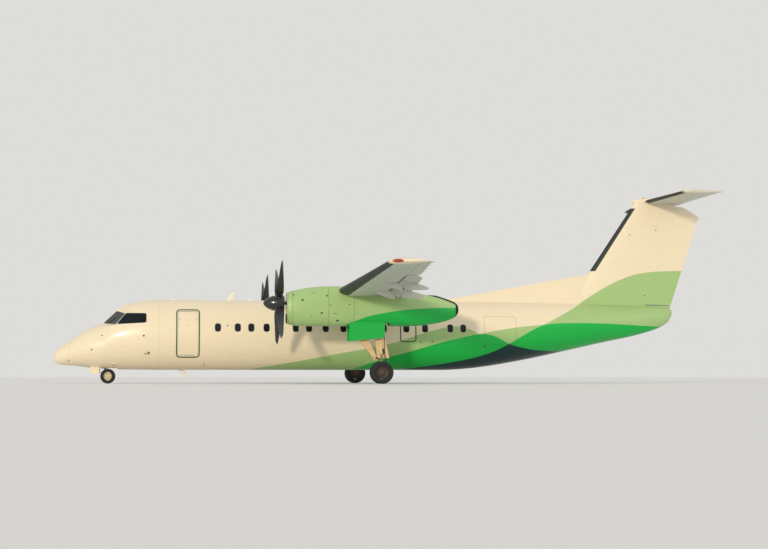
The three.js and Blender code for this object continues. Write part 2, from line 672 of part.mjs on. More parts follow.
for (const [name, side] of sides) {
  const y = side * engineY;
  addPart(`main_leg_${name}`, mainLeg(y), paint.tan);
  const hubs = axleHubs(mainTyre, mainWheelX, mainWheelZ, axleRadius, 82);
  addPart(`main_axle_hubs_${name}`, hubs.translate([0, y, 0]), paint.hub, 0.5, 0.5);
  for (const [place, across] of [['inner', -side], ['outer', side]]) {
    const tyre = wheelBody(tyreOutline(mainTyre), mainWheelX, y + across * mainTyre.offset, mainWheelZ);
    addPart(`main_tyre_${place}_${name}`, tyre, paint.rubber, 0.9, 0);
    const doorY = y + across * (well.half + 22);
    const plate = loft([-12, 12].map((push) => [
      [10830, doorY + push, 420], [10830, doorY + push, -315], [12130, doorY + push, -180],
      [12130, doorY + push, 420]]));
    const hung = cut(plate, nacelleBody(9000, 14000, y, seam));
    const pieces = hung.decompose().sort((a, b) => b.volume() - a.volume());
    addPart(`main_gear_door_${place}_${name}`, pieces[0], paint.bright);
  }
}

// Nose gear: a raked leg, a steered fork that trails its axle, and twin wheels
const rake = THREE.MathUtils.degToRad(10);
const trail = 150;
const noseAxleRadius = 32;
const noseBoreRadius = 33;
const steerAt = (z) => [noseWheelX - trail + (z - noseWheelZ) * Math.tan(rake), 0, z];

const noseLeg = join(
  rod(steerAt(noseBay.roof - 40), steerAt(-1200), 75, 16),
  block(2090, 2250, -85, 85, noseBay.roof - 90, noseBay.roof - seam),
  rod([2330, -70, noseBay.roof - 60], [2330, 70, noseBay.roof - 60], 45, 12),
  rod([2330, 0, noseBay.roof - 60], steerAt(-1150), 34, 12),
  block(2285, 2375, -70, 70, noseBay.roof - 60, noseBay.roof - seam),
);
addPart('nose_leg', noseLeg, paint.tan);
const collar = steerAt(-1200.5);
const noseFork = cut(
  join(
    rod(collar, steerAt(-1270), 80, 20),
    rod(steerAt(-1230), steerAt(-1480), 42, 16),
    loft([
      [[1855, -40, -1400], [1935, -40, -1400], [1935, 40, -1400], [1855, 40, -1400]],
      [[1850, -40, -1520], [noseWheelX, -40, -1520], [noseWheelX, 40, -1520], [1850, 40, -1520]],
      [[1900, -40, -1610], [noseWheelX, -40, -1640], [noseWheelX, 40, -1640], [1900, 40, -1610]],
    ]),
    rod([noseWheelX, -40, noseWheelZ], [noseWheelX, 40, noseWheelZ], 62, 24),
    block(1790, 1870, -32, 32, -1500, -1430),
  ),
  rod([noseWheelX, -60, noseWheelZ], [noseWheelX, 60, noseWheelZ], noseBoreRadius, 20),
);
addPart('nose_fork', noseFork, paint.tan);
const noseHubs = axleHubs(noseTyre, noseWheelX, noseWheelZ, noseAxleRadius, 46);
addPart('nose_axle_hubs', noseHubs, paint.cream, 0.5, 0.3);
for (const [name, side] of sides) {
  const tyre = wheelBody(tyreOutline(noseTyre), noseWheelX, side * noseTyre.offset, noseWheelZ);
  addPart(`nose_tyre_${name}`, tyre, paint.rubber, 0.9, 0);
  const doorY = side * (noseBay.half + 16);
  const plate = block(noseBay.front, 1740, doorY - 12, doorY + 12, -1480, -1100);
  const hung = cut(plate, fuselageBody(radomeX, 5000, seam)).decompose();
  addPart(`nose_gear_door_${name}`, hung.sort((a, b) => b.volume() - a.volume())[0], paint.tan);
}

// Fin with its dorsal ridge; the rudder is in two leaves, the rear one hinged on the front one
const hingeXAt = (z) => rudder.hingeFoot
  + ((z - rudder.foot) / (rudder.head - rudder.foot)) * (rudder.hingeHead - rudder.hingeFoot);
const tailEdgeAt = (z) => valueAt(finStations, z, 2);

function finRing(z, grow = 0) {
  const [lead, trailEdge, half] = [1, 2, 3].map((column) => valueAt(finStations, z, column));
  const outline = foilOutline(0.12, 0);
  const scale = half / halfThickness(0.3, 0.12);
  return outline.map(([x, height]) => [
    lead + x * (trailEdge - lead), height * scale + Math.sign(height) * grow, z]);
}

// Half width of the fin at x on level z
function finHalf(x, z) {
  const [lead, trailEdge, half] = [1, 2, 3].map((column) => valueAt(finStations, z, column));
  const part = Math.min(1, Math.max(0, (x - lead) / (trailEdge - lead)));
  return (half * halfThickness(part, 0.12)) / halfThickness(0.3, 0.12);
}

// One rudder leaf between two edges, with a nose rounded about its hinge
function leafRing(z, hingeX, endX, endZ = z) {
  const radius = finHalf(hingeX, z);
  const nose = Array.from({ length: 7 }, (_, i) => {
    const angle = Math.PI / 2 + (i / 6) * Math.PI;
    return [hingeX + radius * Math.cos(angle), radius * Math.sin(angle), z];
  });
  const tailHalf = Math.max(3, finHalf(endX, z));
  return [[endX, tailHalf, endZ], ...nose, [endX, -tailHalf, endZ]];
}

const finTop = 5330;
const dorsal = loft([[14650, 1335, 20], [17000, 1760, 60], [20950, 2485, 110], [21700, 2560, 150]]
  .map(([x, top, half]) => [[x, -half, 1000], [x, half, 1000], [x, half * 0.5, top - 20], [x, 0, top],
    [x, -half * 0.5, top - 20]]));
const rudderNose = finHalf(rudder.hingeFoot, rudder.foot);
const rudderBay = loft([rudder.foot - 25, finTop + 50].map((z) => {
  const front = hingeXAt(z) - rudderNose - 12;
  return [[front, -400, z], [27000, -400, z], [27000, 400, z], [front, 400, z]];
}));
const finCut = cut(
  join(loft([finRing(1000), finRing(2500), finRing(finTop)]), dorsal),
  fuselageBody(10000, tailConeX, seam),
  rudderBay,
);
// A round pin on a raked hinge line, from one distance up the line to another. Pins and bosses on it
// meet on faces square to the line, so the gap between them stays the same as the rudder turns
const hingePin = (foot, head, from, to, radius) => {
  const line = new THREE.Vector3(head[0] - foot[0], 0, head[1] - foot[1]).normalize();
  const [start, end] = [from, to].map((way) => [foot[0] + line.x * way, 0, foot[1] + line.z * way]);
  return rod(start, end, radius, 12);
};
const rudderFoot = [rudder.hingeFoot, rudder.foot];
const rudderHead = [rudder.hingeHead, rudder.head];
const rudderPin = { radius: 15, foot: -38, meet: 12, gap: 0.5, head: 168 };
const pinEnd = rudderPin.meet + rudderPin.gap;
const footPin = hingePin(rudderFoot, rudderHead, rudderPin.foot, -pinEnd, rudderPin.radius);
const fin = join(finCut, footPin);
const finPieces = fin.decompose().sort((a, b) => b.volume() - a.volume());
addPart('fin', finPieces[0], paint.cream);

const tabHingeAt = (z) => tailEdgeAt(z) - rudder.tab;
const frontEndAt = (z) => tabHingeAt(z) - finHalf(tabHingeAt(z), z) - 14;
const rudderTop = 5270;
const tabTop = { front: 5130, back: 4930 };
const frontLeaf = loft([rudder.foot, 3300, rudderTop].map((z) => leafRing(z, hingeXAt(z), frontEndAt(z))));
const rearLeaf = loft([
  leafRing(rudder.foot, tabHingeAt(rudder.foot), tailEdgeAt(rudder.foot)),
  leafRing(3300, tabHingeAt(3300), tailEdgeAt(3300)),
  leafRing(tabTop.front, tabHingeAt(tabTop.front), length, tabTop.back),
]);
const slope = loft([-400, 400].map((y) => [
  [24790, y, 5272], [25200, y, 5190], [26200, y, 4830], [26200, y, 5900], [24790, y, 5900]]));
const tabPin = { radius: 8, root: -13, meet: 6, gap: 0.5 };
const tabLine = [rudder.foot, tabTop.front].map((z) => [tabHingeAt(z), z]);
const leafEnd = frontEndAt(rudder.foot);
const bracket = { from: leafEnd - 90, to: leafEnd - 4, foot: rudder.foot - 18 };
const tabBracket = join(
  block(bracket.from, bracket.to, -16, 16, bracket.foot, rudder.foot + 10),
  block(bracket.from, tabLine[0][0] + 14, -16, 16, bracket.foot, rudder.foot - 9),
  hingePin(...tabLine, tabPin.root, -tabPin.meet - tabPin.gap, tabPin.radius),
);
const rudderHeadFoot = [hingeXAt(rudderTop), rudderTop];
const rudderBosses = [
  hingePin(rudderFoot, rudderHead, -rudderPin.meet, rudderPin.meet, rudderPin.radius),
  hingePin(rudderHeadFoot, rudderHead, -rudderPin.meet, rudderPin.meet, rudderPin.radius),
];
addPart('rudder', join(cut(frontLeaf, slope), tabBracket, ...rudderBosses), paint.cream);
const tabBoss = hingePin(...tabLine, -tabPin.meet, tabPin.meet, tabPin.radius);
addPart('rudder_tab', join(rearLeaf, tabBoss), paint.cream);

// Tailplane on top of the fin, with its elevators and the bullet fairing
const elevatorHinge = 0.66;
const elevatorEnds = [between(tailRoot, tailEnd, 170), between(tailRoot, tailEnd, 3820)];
const mirror = ([y, ...rest]) => [-y, ...rest];
const tailplane = cut(
  foilBody([mirror(tailTip), mirror(tailEnd), tailRoot, tailEnd, tailTip], 0, 1),
  ...sides.map(([, side]) => surfaceBay(elevatorEnds, elevatorHinge, surfaceGap, side)),
);
const headPin = hingePin(rudderHeadFoot, rudderHead, pinEnd, rudderPin.head, rudderPin.radius);
const elevatorPins = sides.flatMap(([, side]) => (
  hingeBosses(elevatorEnds, 0, elevatorHinge, surfaceGap, side)));
addPart('tailplane', join(tailplane, headPin, ...elevatorPins), paint.grey);
for (const [name, side] of sides) {
  addPart(`elevator_${name}`, surfaceBody(elevatorEnds, 0, elevatorHinge, side), paint.grey);
}
const bulletRows = [[22860, 20, 30], [22960, 75, 90], [23250, 130, 150], [23700, 150, 172],
  [24200, 130, 160]];
const bullet = loft(bulletRows.map(([x, half, rise]) => Array.from({ length: 12 }, (_, i) => {
  const angle = (i / 12) * 2 * Math.PI;
  const high = 5448 + (Math.cos(angle) > 0 ? rise : 118 * (half / 150)) * Math.cos(angle);
  return [x, half * Math.sin(angle), high];
})));
const tailTool = foilBody([[-400, ...tailRoot.slice(1)], [400, ...tailRoot.slice(1)]], 0, 1, seam);
const finTool = loft([finRing(4000, seam), finRing(finTop + seam, seam)]);
const bulletPieces = cut(bullet, tailTool, finTool).decompose();
addPart('fin_bullet', bulletPieces.sort((a, b) => b.volume() - a.volume())[0], paint.cream);

export default airliner;
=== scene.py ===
"""A fifty-seat turboprop airliner with a high wing and a T tail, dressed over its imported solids.

Shapes are worked out in millimetres on the aircraft's own axes: x runs aft from the nose tip, y to
starboard and z up from the cabin's centreline. to_frame() turns them into the shared frame.
"""
import math

import bmesh
import bpy
import numpy as np
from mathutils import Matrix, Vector


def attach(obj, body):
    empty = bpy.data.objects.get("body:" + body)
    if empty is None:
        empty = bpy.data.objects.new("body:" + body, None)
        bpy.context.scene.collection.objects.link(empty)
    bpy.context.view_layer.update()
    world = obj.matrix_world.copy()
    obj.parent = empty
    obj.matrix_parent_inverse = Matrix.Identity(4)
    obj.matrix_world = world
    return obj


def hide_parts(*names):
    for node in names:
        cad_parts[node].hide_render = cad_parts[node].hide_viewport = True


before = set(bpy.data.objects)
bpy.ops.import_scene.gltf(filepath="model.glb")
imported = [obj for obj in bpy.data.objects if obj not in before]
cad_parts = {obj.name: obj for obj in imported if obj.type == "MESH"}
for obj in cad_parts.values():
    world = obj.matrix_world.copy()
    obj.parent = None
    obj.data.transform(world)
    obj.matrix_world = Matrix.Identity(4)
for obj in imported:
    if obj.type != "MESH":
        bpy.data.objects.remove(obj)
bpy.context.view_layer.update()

NOSE_TO_MIDDLE = 12840.0
CABIN_HEIGHT = 1870.0
SIDES = (("left", -1), ("right", 1))
# Metres: corners nearer than this become one, and a face thinner than a sliver goes
MERGE_DISTANCE = 2e-5
SLIVER = 1e-5


# Measuring and meshing

def to_frame(points):
    """Aircraft millimetres to metres in the shared frame."""
    return (np.asarray(points, float) + (-NOSE_TO_MIDDLE, 0.0, CABIN_HEIGHT)) * 0.001


def from_frame(points):
    """Metres in the shared frame to aircraft millimetres."""
    return np.asarray(points, float) * 1000.0 - (-NOSE_TO_MIDDLE, 0.0, CABIN_HEIGHT)


def full_turn(count):
    """Angles spaced evenly round a circle, from nought."""
    return np.linspace(0, 2 * np.pi, count, endpoint=False)


def fair(table, x, column=1):
    """A curve through a table's rows that never overshoots: between two rows a cubic, whose slope at a
    row is the harmonic mean of the slopes on either side, or flat where those differ in sign."""
    knots, values = table[:, 0], table[:, column]
    run = np.diff(knots)
    rise = np.diff(values) / run
    slope = np.empty_like(values)
    slope[0], slope[-1] = rise[0], rise[-1]
    product = rise[:-1] * rise[1:]
    total = np.where(product > 0, rise[:-1] + rise[1:], 1.0)
    slope[1:-1] = np.where(product > 0, 2 * product / total, 0.0)
    row = np.clip(np.searchsorted(knots, x) - 1, 0, len(run) - 1)
    t = np.clip((x - knots[row]) / run[row], 0, 1)
    pull = run[row] * (slope[row] * t * (1 - t) ** 2 - slope[row + 1] * t * t * (1 - t))
    return values[row] * (1 + 2 * t) * (1 - t) ** 2 + values[row + 1] * t * t * (3 - 2 * t) + pull


def panel(grid, lids=False, finish=0):
    """Quads over a grid of points (rows, columns, 3) whose rows are rings. lids fan over the first and
    the last ring from their middles."""
    rows, columns = grid.shape[:2]
    here = np.arange(rows * columns).reshape(rows, columns)
    ahead = np.roll(here, -1, 1)
    faces = np.stack([here[:-1], ahead[:-1], ahead[1:], here[1:]], -1).reshape(-1, 4).tolist()
    points = grid.reshape(-1, 3)
    if lids:
        hub = len(points)
        points = np.vstack([points, grid[0].mean(0), grid[-1].mean(0)])
        faces += np.stack([np.full(columns, hub), ahead[0], here[0]], -1).tolist()
        faces += np.stack([np.full(columns, hub + 1), here[-1], ahead[-1]], -1).tolist()
    return points, faces, finish


def closed(grid, finish=0):
    """A skin over a grid whose rows are rings, shut at both ends."""
    return panel(grid, lids=True, finish=finish)


def make_piece(name, panels, finishes, body="airframe", stands_for=(), crease=32, cuts=(),
               stripes=None):
    """Joins panels into one mesh object in the shared frame, with its faces turned outwards, smooth but
    for edges sharper than crease degrees. Each cut is a closed panel with the finish of the faces that
    it leaves. The piece rides on body and stands for the solids named."""
    points, faces, kinds = [], [], []
    for corners, quads, kind in panels:
        shift = sum(len(block) for block in points)
        points.append(to_frame(corners))
        faces += [[corner + shift for corner in face] for face in quads]
        kinds += [kind] * len(quads)
    mesh = bpy.data.meshes.new(name)
    mesh.from_pydata(np.vstack(points).tolist(), [], faces)
    mesh.polygons.foreach_set("material_index", kinds)
    shell = bmesh.new()
    shell.from_mesh(mesh)
    bmesh.ops.remove_doubles(shell, verts=shell.verts, dist=MERGE_DISTANCE)
    bmesh.ops.dissolve_degenerate(shell, edges=shell.edges, dist=SLIVER)
    bmesh.ops.recalc_face_normals(shell, faces=shell.faces)
    shell.to_mesh(mesh)
    shell.free()
    piece = bpy.data.objects.new(name, mesh)
    bpy.context.scene.collection.objects.link(piece)
    for material in finishes:
        mesh.materials.append(material)
    soften(mesh, crease)
    if cuts:
        carve(piece, [make_piece("cut", [shape], [finish], None) for shape, finish in cuts], crease)
    if stripes:
        paint_stripes(piece, stripes)
    if body:
        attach(piece, body)
    if stands_for:
        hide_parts(*stands_for)
    return piece


def soften(mesh, crease):
    """Smooth shading, with hard edges where two faces meet at more than crease degrees."""
    mesh.polygons.foreach_set("use_smooth", [True] * len(mesh.polygons))
    mesh.set_sharp_from_angle(angle=math.radians(crease))
    mesh.update()


def carve(piece, tools, crease):
    """Cuts closed tools out of a piece for good. The cut faces take the tools' finishes."""
    for tool in tools:
        cut = piece.modifiers.new("cut", "BOOLEAN")
        cut.operation = "DIFFERENCE"
        cut.solver = "EXACT"
        cut.material_mode = "TRANSFER"
        cut.object = tool
    shape = piece.evaluated_get(bpy.context.evaluated_depsgraph_get())
    mesh = bpy.data.meshes.new_from_object(shape)
    piece.modifiers.clear()
    piece.data = mesh
    for tool in tools:
        bpy.data.objects.remove(tool)
    soften(mesh, crease)


def slab(low, high):
    """A closed block between two matching outlines of corners."""
    return closed(np.array([low, high], float))


def plank(outline, y0, y1):
    """A closed sheet from one y to another, from its outline in x and z."""
    return slab(*[np.insert(np.asarray(outline, float), 1, y, axis=1) for y in (y0, y1)])


def brick(x0, x1, y0, y1, z0, z1):
    """A block with its sides along the axes."""
    floor = [(x0, y0), (x1, y0), (x1, y1), (x0, y1)]
    return slab([(x, y, z0) for x, y in floor], [(x, y, z1) for x, y in floor])


def soft_brick(x0, x1, y0, y1, z0, z1, edge, finish=0):
    """A block whose upright edges are rounded and whose top and foot are bevelled by edge."""
    middle = np.array([(x0 + x1) / 2, (y0 + y1) / 2])
    half = np.array([abs(x1 - x0) / 2, abs(y1 - y0) / 2])
    rows = [(z0, edge), (z0 + edge, 0), (z1 - edge, 0), (z1, edge)]
    turn = full_turn(24) + np.pi / 24
    way = np.stack([np.cos(turn), np.sin(turn)], -1)
    grid = []
    for z, inset in rows:
        arc = np.sign(way) * (half - edge) + way * max(edge - inset, 0.01)
        grid.append(np.column_stack([arc + middle, np.full(len(turn), z)]))
    return closed(np.array(grid), finish)


def tube(path, radius, sides=14, finish=0):
    """A round bar along a path. Each ring stands square to the path's run there, on two directions
    carried from a fixed one; radius is one number or one for each point."""
    path = np.asarray(path, float)
    run = np.gradient(path, axis=0)
    run /= np.linalg.norm(run, axis=1)[:, None]
    start = np.array([0.0, 1.0, 0.0]) if abs(run[:, 1]).max() < 0.9 else np.array([1.0, 0.0, 0.0])
    across = np.cross(run, start)
    across /= np.linalg.norm(across, axis=1)[:, None]
    other = np.cross(run, across)
    turn = full_turn(sides)
    spread = np.broadcast_to(np.asarray(radius, float), (len(path),))[:, None, None]
    ring = np.cos(turn)[None, :, None] * across[:, None] + np.sin(turn)[None, :, None] * other[:, None]
    return closed(path[:, None] + ring * spread, finish)


def pin(x, y, z, half, radius, sides, finish=0):
    """A round bar along y about its middle."""
    return tube([(x, y - half, z), (x, y, z), (x, y + half, z)], radius, sides, finish)


def turned(profile, centre, axis, sides=48, finish=0, ring=False):
    """A body of revolution: profile rows are (distance along the axis, radius) from the centre. The
    profile of a ring closes on itself, clear of the axis."""
    profile = np.asarray(profile, float)
    if ring:
        profile = np.vstack([profile, profile[:1]])
    axis = np.asarray(axis, float) / np.linalg.norm(axis)
    start = np.array([0.0, 0.0, 1.0]) if abs(axis[2]) < 0.9 else np.array([1.0, 0.0, 0.0])
    first = np.cross(axis, start)
    first /= np.linalg.norm(first)
    second = np.cross(axis, first)
    turn = full_turn(sides)
    circle = np.cos(turn)[:, None] * first + np.sin(turn)[:, None] * second
    grid = np.asarray(centre, float) + profile[:, :1, None] * axis + profile[:, 1:, None] * circle
    return panel(grid, lids=not ring, finish=finish)


def turn_panels(panels, pivot, axis, degrees):
    """Panels turned about a line by the right-hand rule."""
    axis = np.asarray(axis, float) / np.linalg.norm(axis)
    cosine, sine = math.cos(math.radians(degrees)), math.sin(math.radians(degrees))
    moved = []
    for points, faces, finish in panels:
        arm = points - pivot
        along = (arm @ axis)[..., None] * axis
        moved.append((pivot + arm * cosine + np.cross(axis, arm) * sine + along * (1 - cosine), faces,
                      finish))
    return moved


# Finishes

def colour(code):
    """An sRGB hex colour as linear red, green, blue and alpha."""
    parts = [int(code[i:i + 2], 16) / 255 for i in (0, 2, 4)]
    return tuple(c / 12.92 if c <= 0.04045 else ((c + 0.055) / 1.055) ** 2.4 for c in parts) + (1.0,)


def add_node(tree, kind, inputs=None, **settings):
    """Adds a node, sets its properties, and fills or links its inputs, by name or by number."""
    made = tree.nodes.new(kind)
    for name, value in settings.items():
        setattr(made, name, value)
    for socket, value in (inputs or {}).items():
        if isinstance(value, bpy.types.NodeSocket):
            tree.links.new(value, made.inputs[socket])
        else:
            made.inputs[socket].default_value = value
    return made


def new_finish(name, roughness, metallic=0.0, coat=0.0, ior=1.5):
    """An empty material with its shader, whose plain numbers sit on the shader's own sockets."""
    material = bpy.data.materials.new(name)
    material.use_nodes = True
    tree = material.node_tree
    tree.nodes.clear()
    shader = add_node(tree, "ShaderNodeBsdfPrincipled", {"Roughness": roughness, "Metallic": metallic,
                                                         "Coat Weight": coat, "Coat Roughness": 0.08})
    if not metallic:
        shader.inputs["IOR"].default_value = ior
    out = add_node(tree, "ShaderNodeOutputMaterial")
    tree.links.new(shader.outputs[0], out.inputs["Surface"])
    return material, tree, shader


def mottled(name, low, high, scale, roughness=0.5, metallic=0.0, coat=0.0, bump=0.0, stretch=(1, 1, 1),
            rough_swing=0.08, ior=1.5):
    """A finish whose colour wanders between two hex colours in patches of 1/scale metres, with
    roughness that follows it and, where bump is given in millimetres, an uneven surface whose grain is
    six times finer."""
    material, tree, shader = new_finish(name, roughness, metallic, coat, ior)
    place = add_node(tree, "ShaderNodeTexCoord")
    mapping = add_node(tree, "ShaderNodeMapping", {"Vector": place.outputs["Object"], "Scale": stretch})
    noise = add_node(tree, "ShaderNodeTexNoise", {"Vector": mapping.outputs[0], "Scale": scale,
                                                  "Detail": 5.0})
    spread = add_node(tree, "ShaderNodeMapRange", {"Value": noise.outputs["Fac"], "From Min": 0.3,
                                                   "From Max": 0.7})
    mix = add_node(tree, "ShaderNodeMix", {"Factor": spread.outputs[0], 6: colour(low), 7: colour(high)},
                   data_type="RGBA")
    tree.links.new(mix.outputs[2], shader.inputs["Base Color"])
    rough = add_node(tree, "ShaderNodeMapRange", {
        "Value": noise.outputs["Fac"], "To Min": roughness - rough_swing, "To Max": roughness + rough_swing})
    tree.links.new(rough.outputs[0], shader.inputs["Roughness"])
    if bump:
        grain = add_node(tree, "ShaderNodeTexNoise", {"Vector": mapping.outputs[0], "Detail": 3.0,
                                                      "Scale": scale * 6})
        raised = add_node(tree, "ShaderNodeBump", {"Height": grain.outputs["Fac"], "Distance": bump * 0.001,
                                                   "Strength": 1.0})
        tree.links.new(raised.outputs[0], shader.inputs["Normal"])
    return material


# Stripe edges on the side view: x, z of each curve. A stripe is what lies below its curve.
PALE_WAVE = np.array([[7300, -1345], [9300, -1010], [11000, -690], [12800, -340], [14300, 130], [15250, 335],
                      [15800, 250], [16250, 40], [16700, -260]], float)
PALE_SWELL = np.array([[16000, -40], [16800, 150], [17800, 310], [18900, 425], [19600, 470]], float)
TAIL_SWEEP = np.array([[18200, 60], [18900, 425], [20400, 1200], [21400, 1830], [22400, 2330], [23300, 2570],
                       [24600, 2660], [26000, 2670]], float)
GREEN_FRONT = np.array([[11200, -1400], [12600, -910], [13600, -630], [14700, -310], [15600, -90],
                        [16150, 25], [16500, 40], [16900, -50], [17480, -340], [18100, -720]], float)
GREEN_BACK = np.array([[16900, -700], [17480, -340], [18100, 30], [18600, 300], [19000, 430], [19600, 490],
                       [20500, 505], [21500, 490], [22800, 440], [23830, 395], [24600, 340]], float)
DARK_FRONT = np.array([[12900, -1380], [14000, -1240], [15000, -1095], [16000, -900], [16800, -660],
                       [17480, -340]], float)
DARK_BACK = np.array([[17480, -340], [17900, -445], [18480, -550], [19280, -600], [20100, -590],
                      [21000, -560]], float)
NACELLE_SWEEP = np.array([[9900, -140], [10300, 80], [10800, 310], [11450, 560], [12150, 715], [12900, 825],
                          [13900, 895], [14920, 930]], float)
OUT_OF_REACH = -5000.0
EVERYWHERE = 1000.0


def sweep(table, x):
    """A stripe's edge: a cubic between rows whose slope at a row is that of the line from the row before
    to the row after. Beyond its ends the stripe is far below the aircraft."""
    knots, values = table.T
    slope = np.gradient(values, knots)
    slope[1:-1] = (values[2:] - values[:-2]) / (knots[2:] - knots[:-2])
    row = np.clip(np.searchsorted(knots, x) - 1, 0, len(knots) - 2)
    run = knots[row + 1] - knots[row]
    t = np.clip((x - knots[row]) / run, 0, 1)
    curve = (values[row] * (1 + 2 * t) * (1 - t) ** 2 + values[row + 1] * t * t * (3 - 2 * t)
             + run * (slope[row] * t * (1 - t) ** 2 - slope[row + 1] * t * t * (1 - t)))
    return np.where((x < knots[0]) | (x > knots[-1]), OUT_OF_REACH, curve)


def paint_stripes(piece, pattern):
    """Writes on every corner of a piece how far it lies below each stripe's edge, in metres. The paint
    reads the sign of these, and each stripe's edge is the highest of its curves. The pattern is that of
    the hull, a nacelle, or a door that is bright green all over."""
    mesh = piece.data
    flat = np.empty(len(mesh.vertices) * 3, np.float32)
    mesh.vertices.foreach_get("co", flat)
    x, _, z = from_frame(flat.reshape(-1, 3)).T
    edges = {"pale": np.full(len(x), EVERYWHERE), "green": np.full(len(x), EVERYWHERE)}
    if pattern == "nacelle":
        edges["green"] = sweep(NACELLE_SWEEP, x) - z
    elif pattern == "hull":
        edges["pale"] = np.maximum.reduce(
            [sweep(table, x) for table in (PALE_WAVE, PALE_SWELL, TAIL_SWEEP)]) - z
        edges["green"] = np.maximum(sweep(GREEN_FRONT, x), sweep(GREEN_BACK, x)) - z
        edges["dark"] = np.maximum(sweep(DARK_FRONT, x), sweep(DARK_BACK, x)) - z
    for name, values in edges.items():
        field = mesh.attributes.new(name, "FLOAT", "POINT")
        field.data.foreach_set("value", (values * 0.001).astype(np.float32))


# Metres: the height where the hull's lap lines stop, half the space between them, and half their width
LAP = {"roof": 3.3, "half_space": 1.02, "half": 0.006}
RIB = {"half_space": 0.61, "half": 0.007}


def striped_paint():
    """Polyurethane topcoat over flush-riveted skin: a deep gloss, faintly streaked with grime along the
    airflow, over lap joints every two metres that show as fine lines below the roof."""
    material, tree, shader = new_finish("polyurethane_topcoat", 0.3, coat=0.12, ior=1.4)
    place = add_node(tree, "ShaderNodeTexCoord")
    tint = colour("e8dabc")
    for field, code in (("pale", "a0bf7d"), ("green", "0bac43"), ("dark", "052d31")):
        value = add_node(tree, "ShaderNodeAttribute", attribute_name=field)
        inside = add_node(tree, "ShaderNodeMath", {0: value.outputs["Fac"], 1: 0.0},
                          operation="GREATER_THAN")
        mix = add_node(tree, "ShaderNodeMix", {"Factor": inside.outputs[0], 6: tint, 7: colour(code)},
                       data_type="RGBA")
        tint = mix.outputs[2]
    streak = add_node(tree, "ShaderNodeMapping", {"Vector": place.outputs["Object"],
                                                  "Scale": (0.5, 3.0, 5.0)})
    grime = add_node(tree, "ShaderNodeTexNoise", {"Vector": streak.outputs[0], "Scale": 2.2, "Detail": 6.0})
    shade = add_node(tree, "ShaderNodeMapRange", {"Value": grime.outputs["Fac"], "From Min": 0.35,
                                                  "From Max": 0.75, "To Min": 1.0, "To Max": 0.965})
    wash = add_node(tree, "ShaderNodeMix", {"Factor": 1.0, 6: tint, 7: shade.outputs[0]}, data_type="RGBA",
                    blend_type="MULTIPLY")
    split = add_node(tree, "ShaderNodeSeparateXYZ", {0: place.outputs["Object"]})
    joint = add_node(tree, "ShaderNodeMath", {0: split.outputs[0], 1: LAP["half_space"]},
                     operation="PINGPONG")
    line = add_node(tree, "ShaderNodeMapRange", {"Value": joint.outputs[0], "From Min": 0.0,
                                                 "From Max": LAP["half"], "To Min": 0.8, "To Max": 1.0})
    above = add_node(tree, "ShaderNodeMath", {0: split.outputs[2], 1: LAP["roof"]},
                     operation="GREATER_THAN")
    kept = add_node(tree, "ShaderNodeMath", {0: line.outputs[0], 1: above.outputs[0]}, operation="MAXIMUM")
    lined = add_node(tree, "ShaderNodeMix", {"Factor": 1.0, 6: wash.outputs[2], 7: kept.outputs[0]},
                     data_type="RGBA", blend_type="MULTIPLY")
    tree.links.new(lined.outputs[2], shader.inputs["Base Color"])
    rough = add_node(tree, "ShaderNodeMapRange", {"Value": grime.outputs["Fac"], "To Min": 0.22,
                                                  "To Max": 0.42})
    tree.links.new(rough.outputs[0], shader.inputs["Roughness"])
    dents = add_node(tree, "ShaderNodeTexNoise", {"Vector": place.outputs["Object"], "Scale": 2.4,
                                                  "Detail": 2.0})
    raised = add_node(tree, "ShaderNodeBump", {"Height": dents.outputs["Fac"], "Distance": 0.004,
                                               "Strength": 0.6})
    tree.links.new(raised.outputs[0], shader.inputs["Normal"])
    return material


def wing_paint():
    """Grey epoxy wing paint: satin, with ribs that ghost through every 1.2 m and oil streaks aft."""
    material, tree, shader = new_finish("grey_epoxy_wing_paint", 0.42, coat=0.1)
    place = add_node(tree, "ShaderNodeTexCoord")
    streak = add_node(tree, "ShaderNodeMapping", {"Vector": place.outputs["Object"],
                                                  "Scale": (0.5, 2.0, 1.0)})
    grime = add_node(tree, "ShaderNodeTexNoise", {"Vector": streak.outputs[0], "Scale": 3.0, "Detail": 6.0})
    spread = add_node(tree, "ShaderNodeMapRange", {"Value": grime.outputs["Fac"], "From Min": 0.3,
                                                   "From Max": 0.7})
    tint = add_node(tree, "ShaderNodeMix", {"Factor": spread.outputs[0], 6: colour("c6c6bc"),
                                            7: colour("bfc0b7")}, data_type="RGBA")
    split = add_node(tree, "ShaderNodeSeparateXYZ", {0: place.outputs["Object"]})
    rib = add_node(tree, "ShaderNodeMath", {0: split.outputs[1], 1: RIB["half_space"]}, operation="PINGPONG")
    line = add_node(tree, "ShaderNodeMapRange", {"Value": rib.outputs[0], "From Min": 0.0,
                                                 "From Max": RIB["half"], "To Min": 0.84, "To Max": 1.0})
    lined = add_node(tree, "ShaderNodeMix", {"Factor": 1.0, 6: tint.outputs[2], 7: line.outputs[0]},
                     data_type="RGBA", blend_type="MULTIPLY")
    tree.links.new(lined.outputs[2], shader.inputs["Base Color"])
    rough = add_node(tree, "ShaderNodeMapRange", {"Value": grime.outputs["Fac"], "To Min": 0.34,
                                                  "To Max": 0.52})
    tree.links.new(rough.outputs[0], shader.inputs["Roughness"])
    return material


AIRLINER_PAINT = striped_paint()
WING_PAINT = wing_paint()
# Sprayed polyurethane on tips and small doors: warm cream with a soft gloss
TIP_PAINT = mottled("cream_polyurethane", "eee0c2", "e2d2ae", 3.0, 0.3, coat=0.3)
# Neoprene cemented over leading edges: almost black, dull, with ripples along the span
BOOT_RUBBER = mottled("neoprene_de_icer_boot", "131d1e", "1d2928", 9.0, 0.55, bump=0.4, stretch=(1, 0.2, 1))
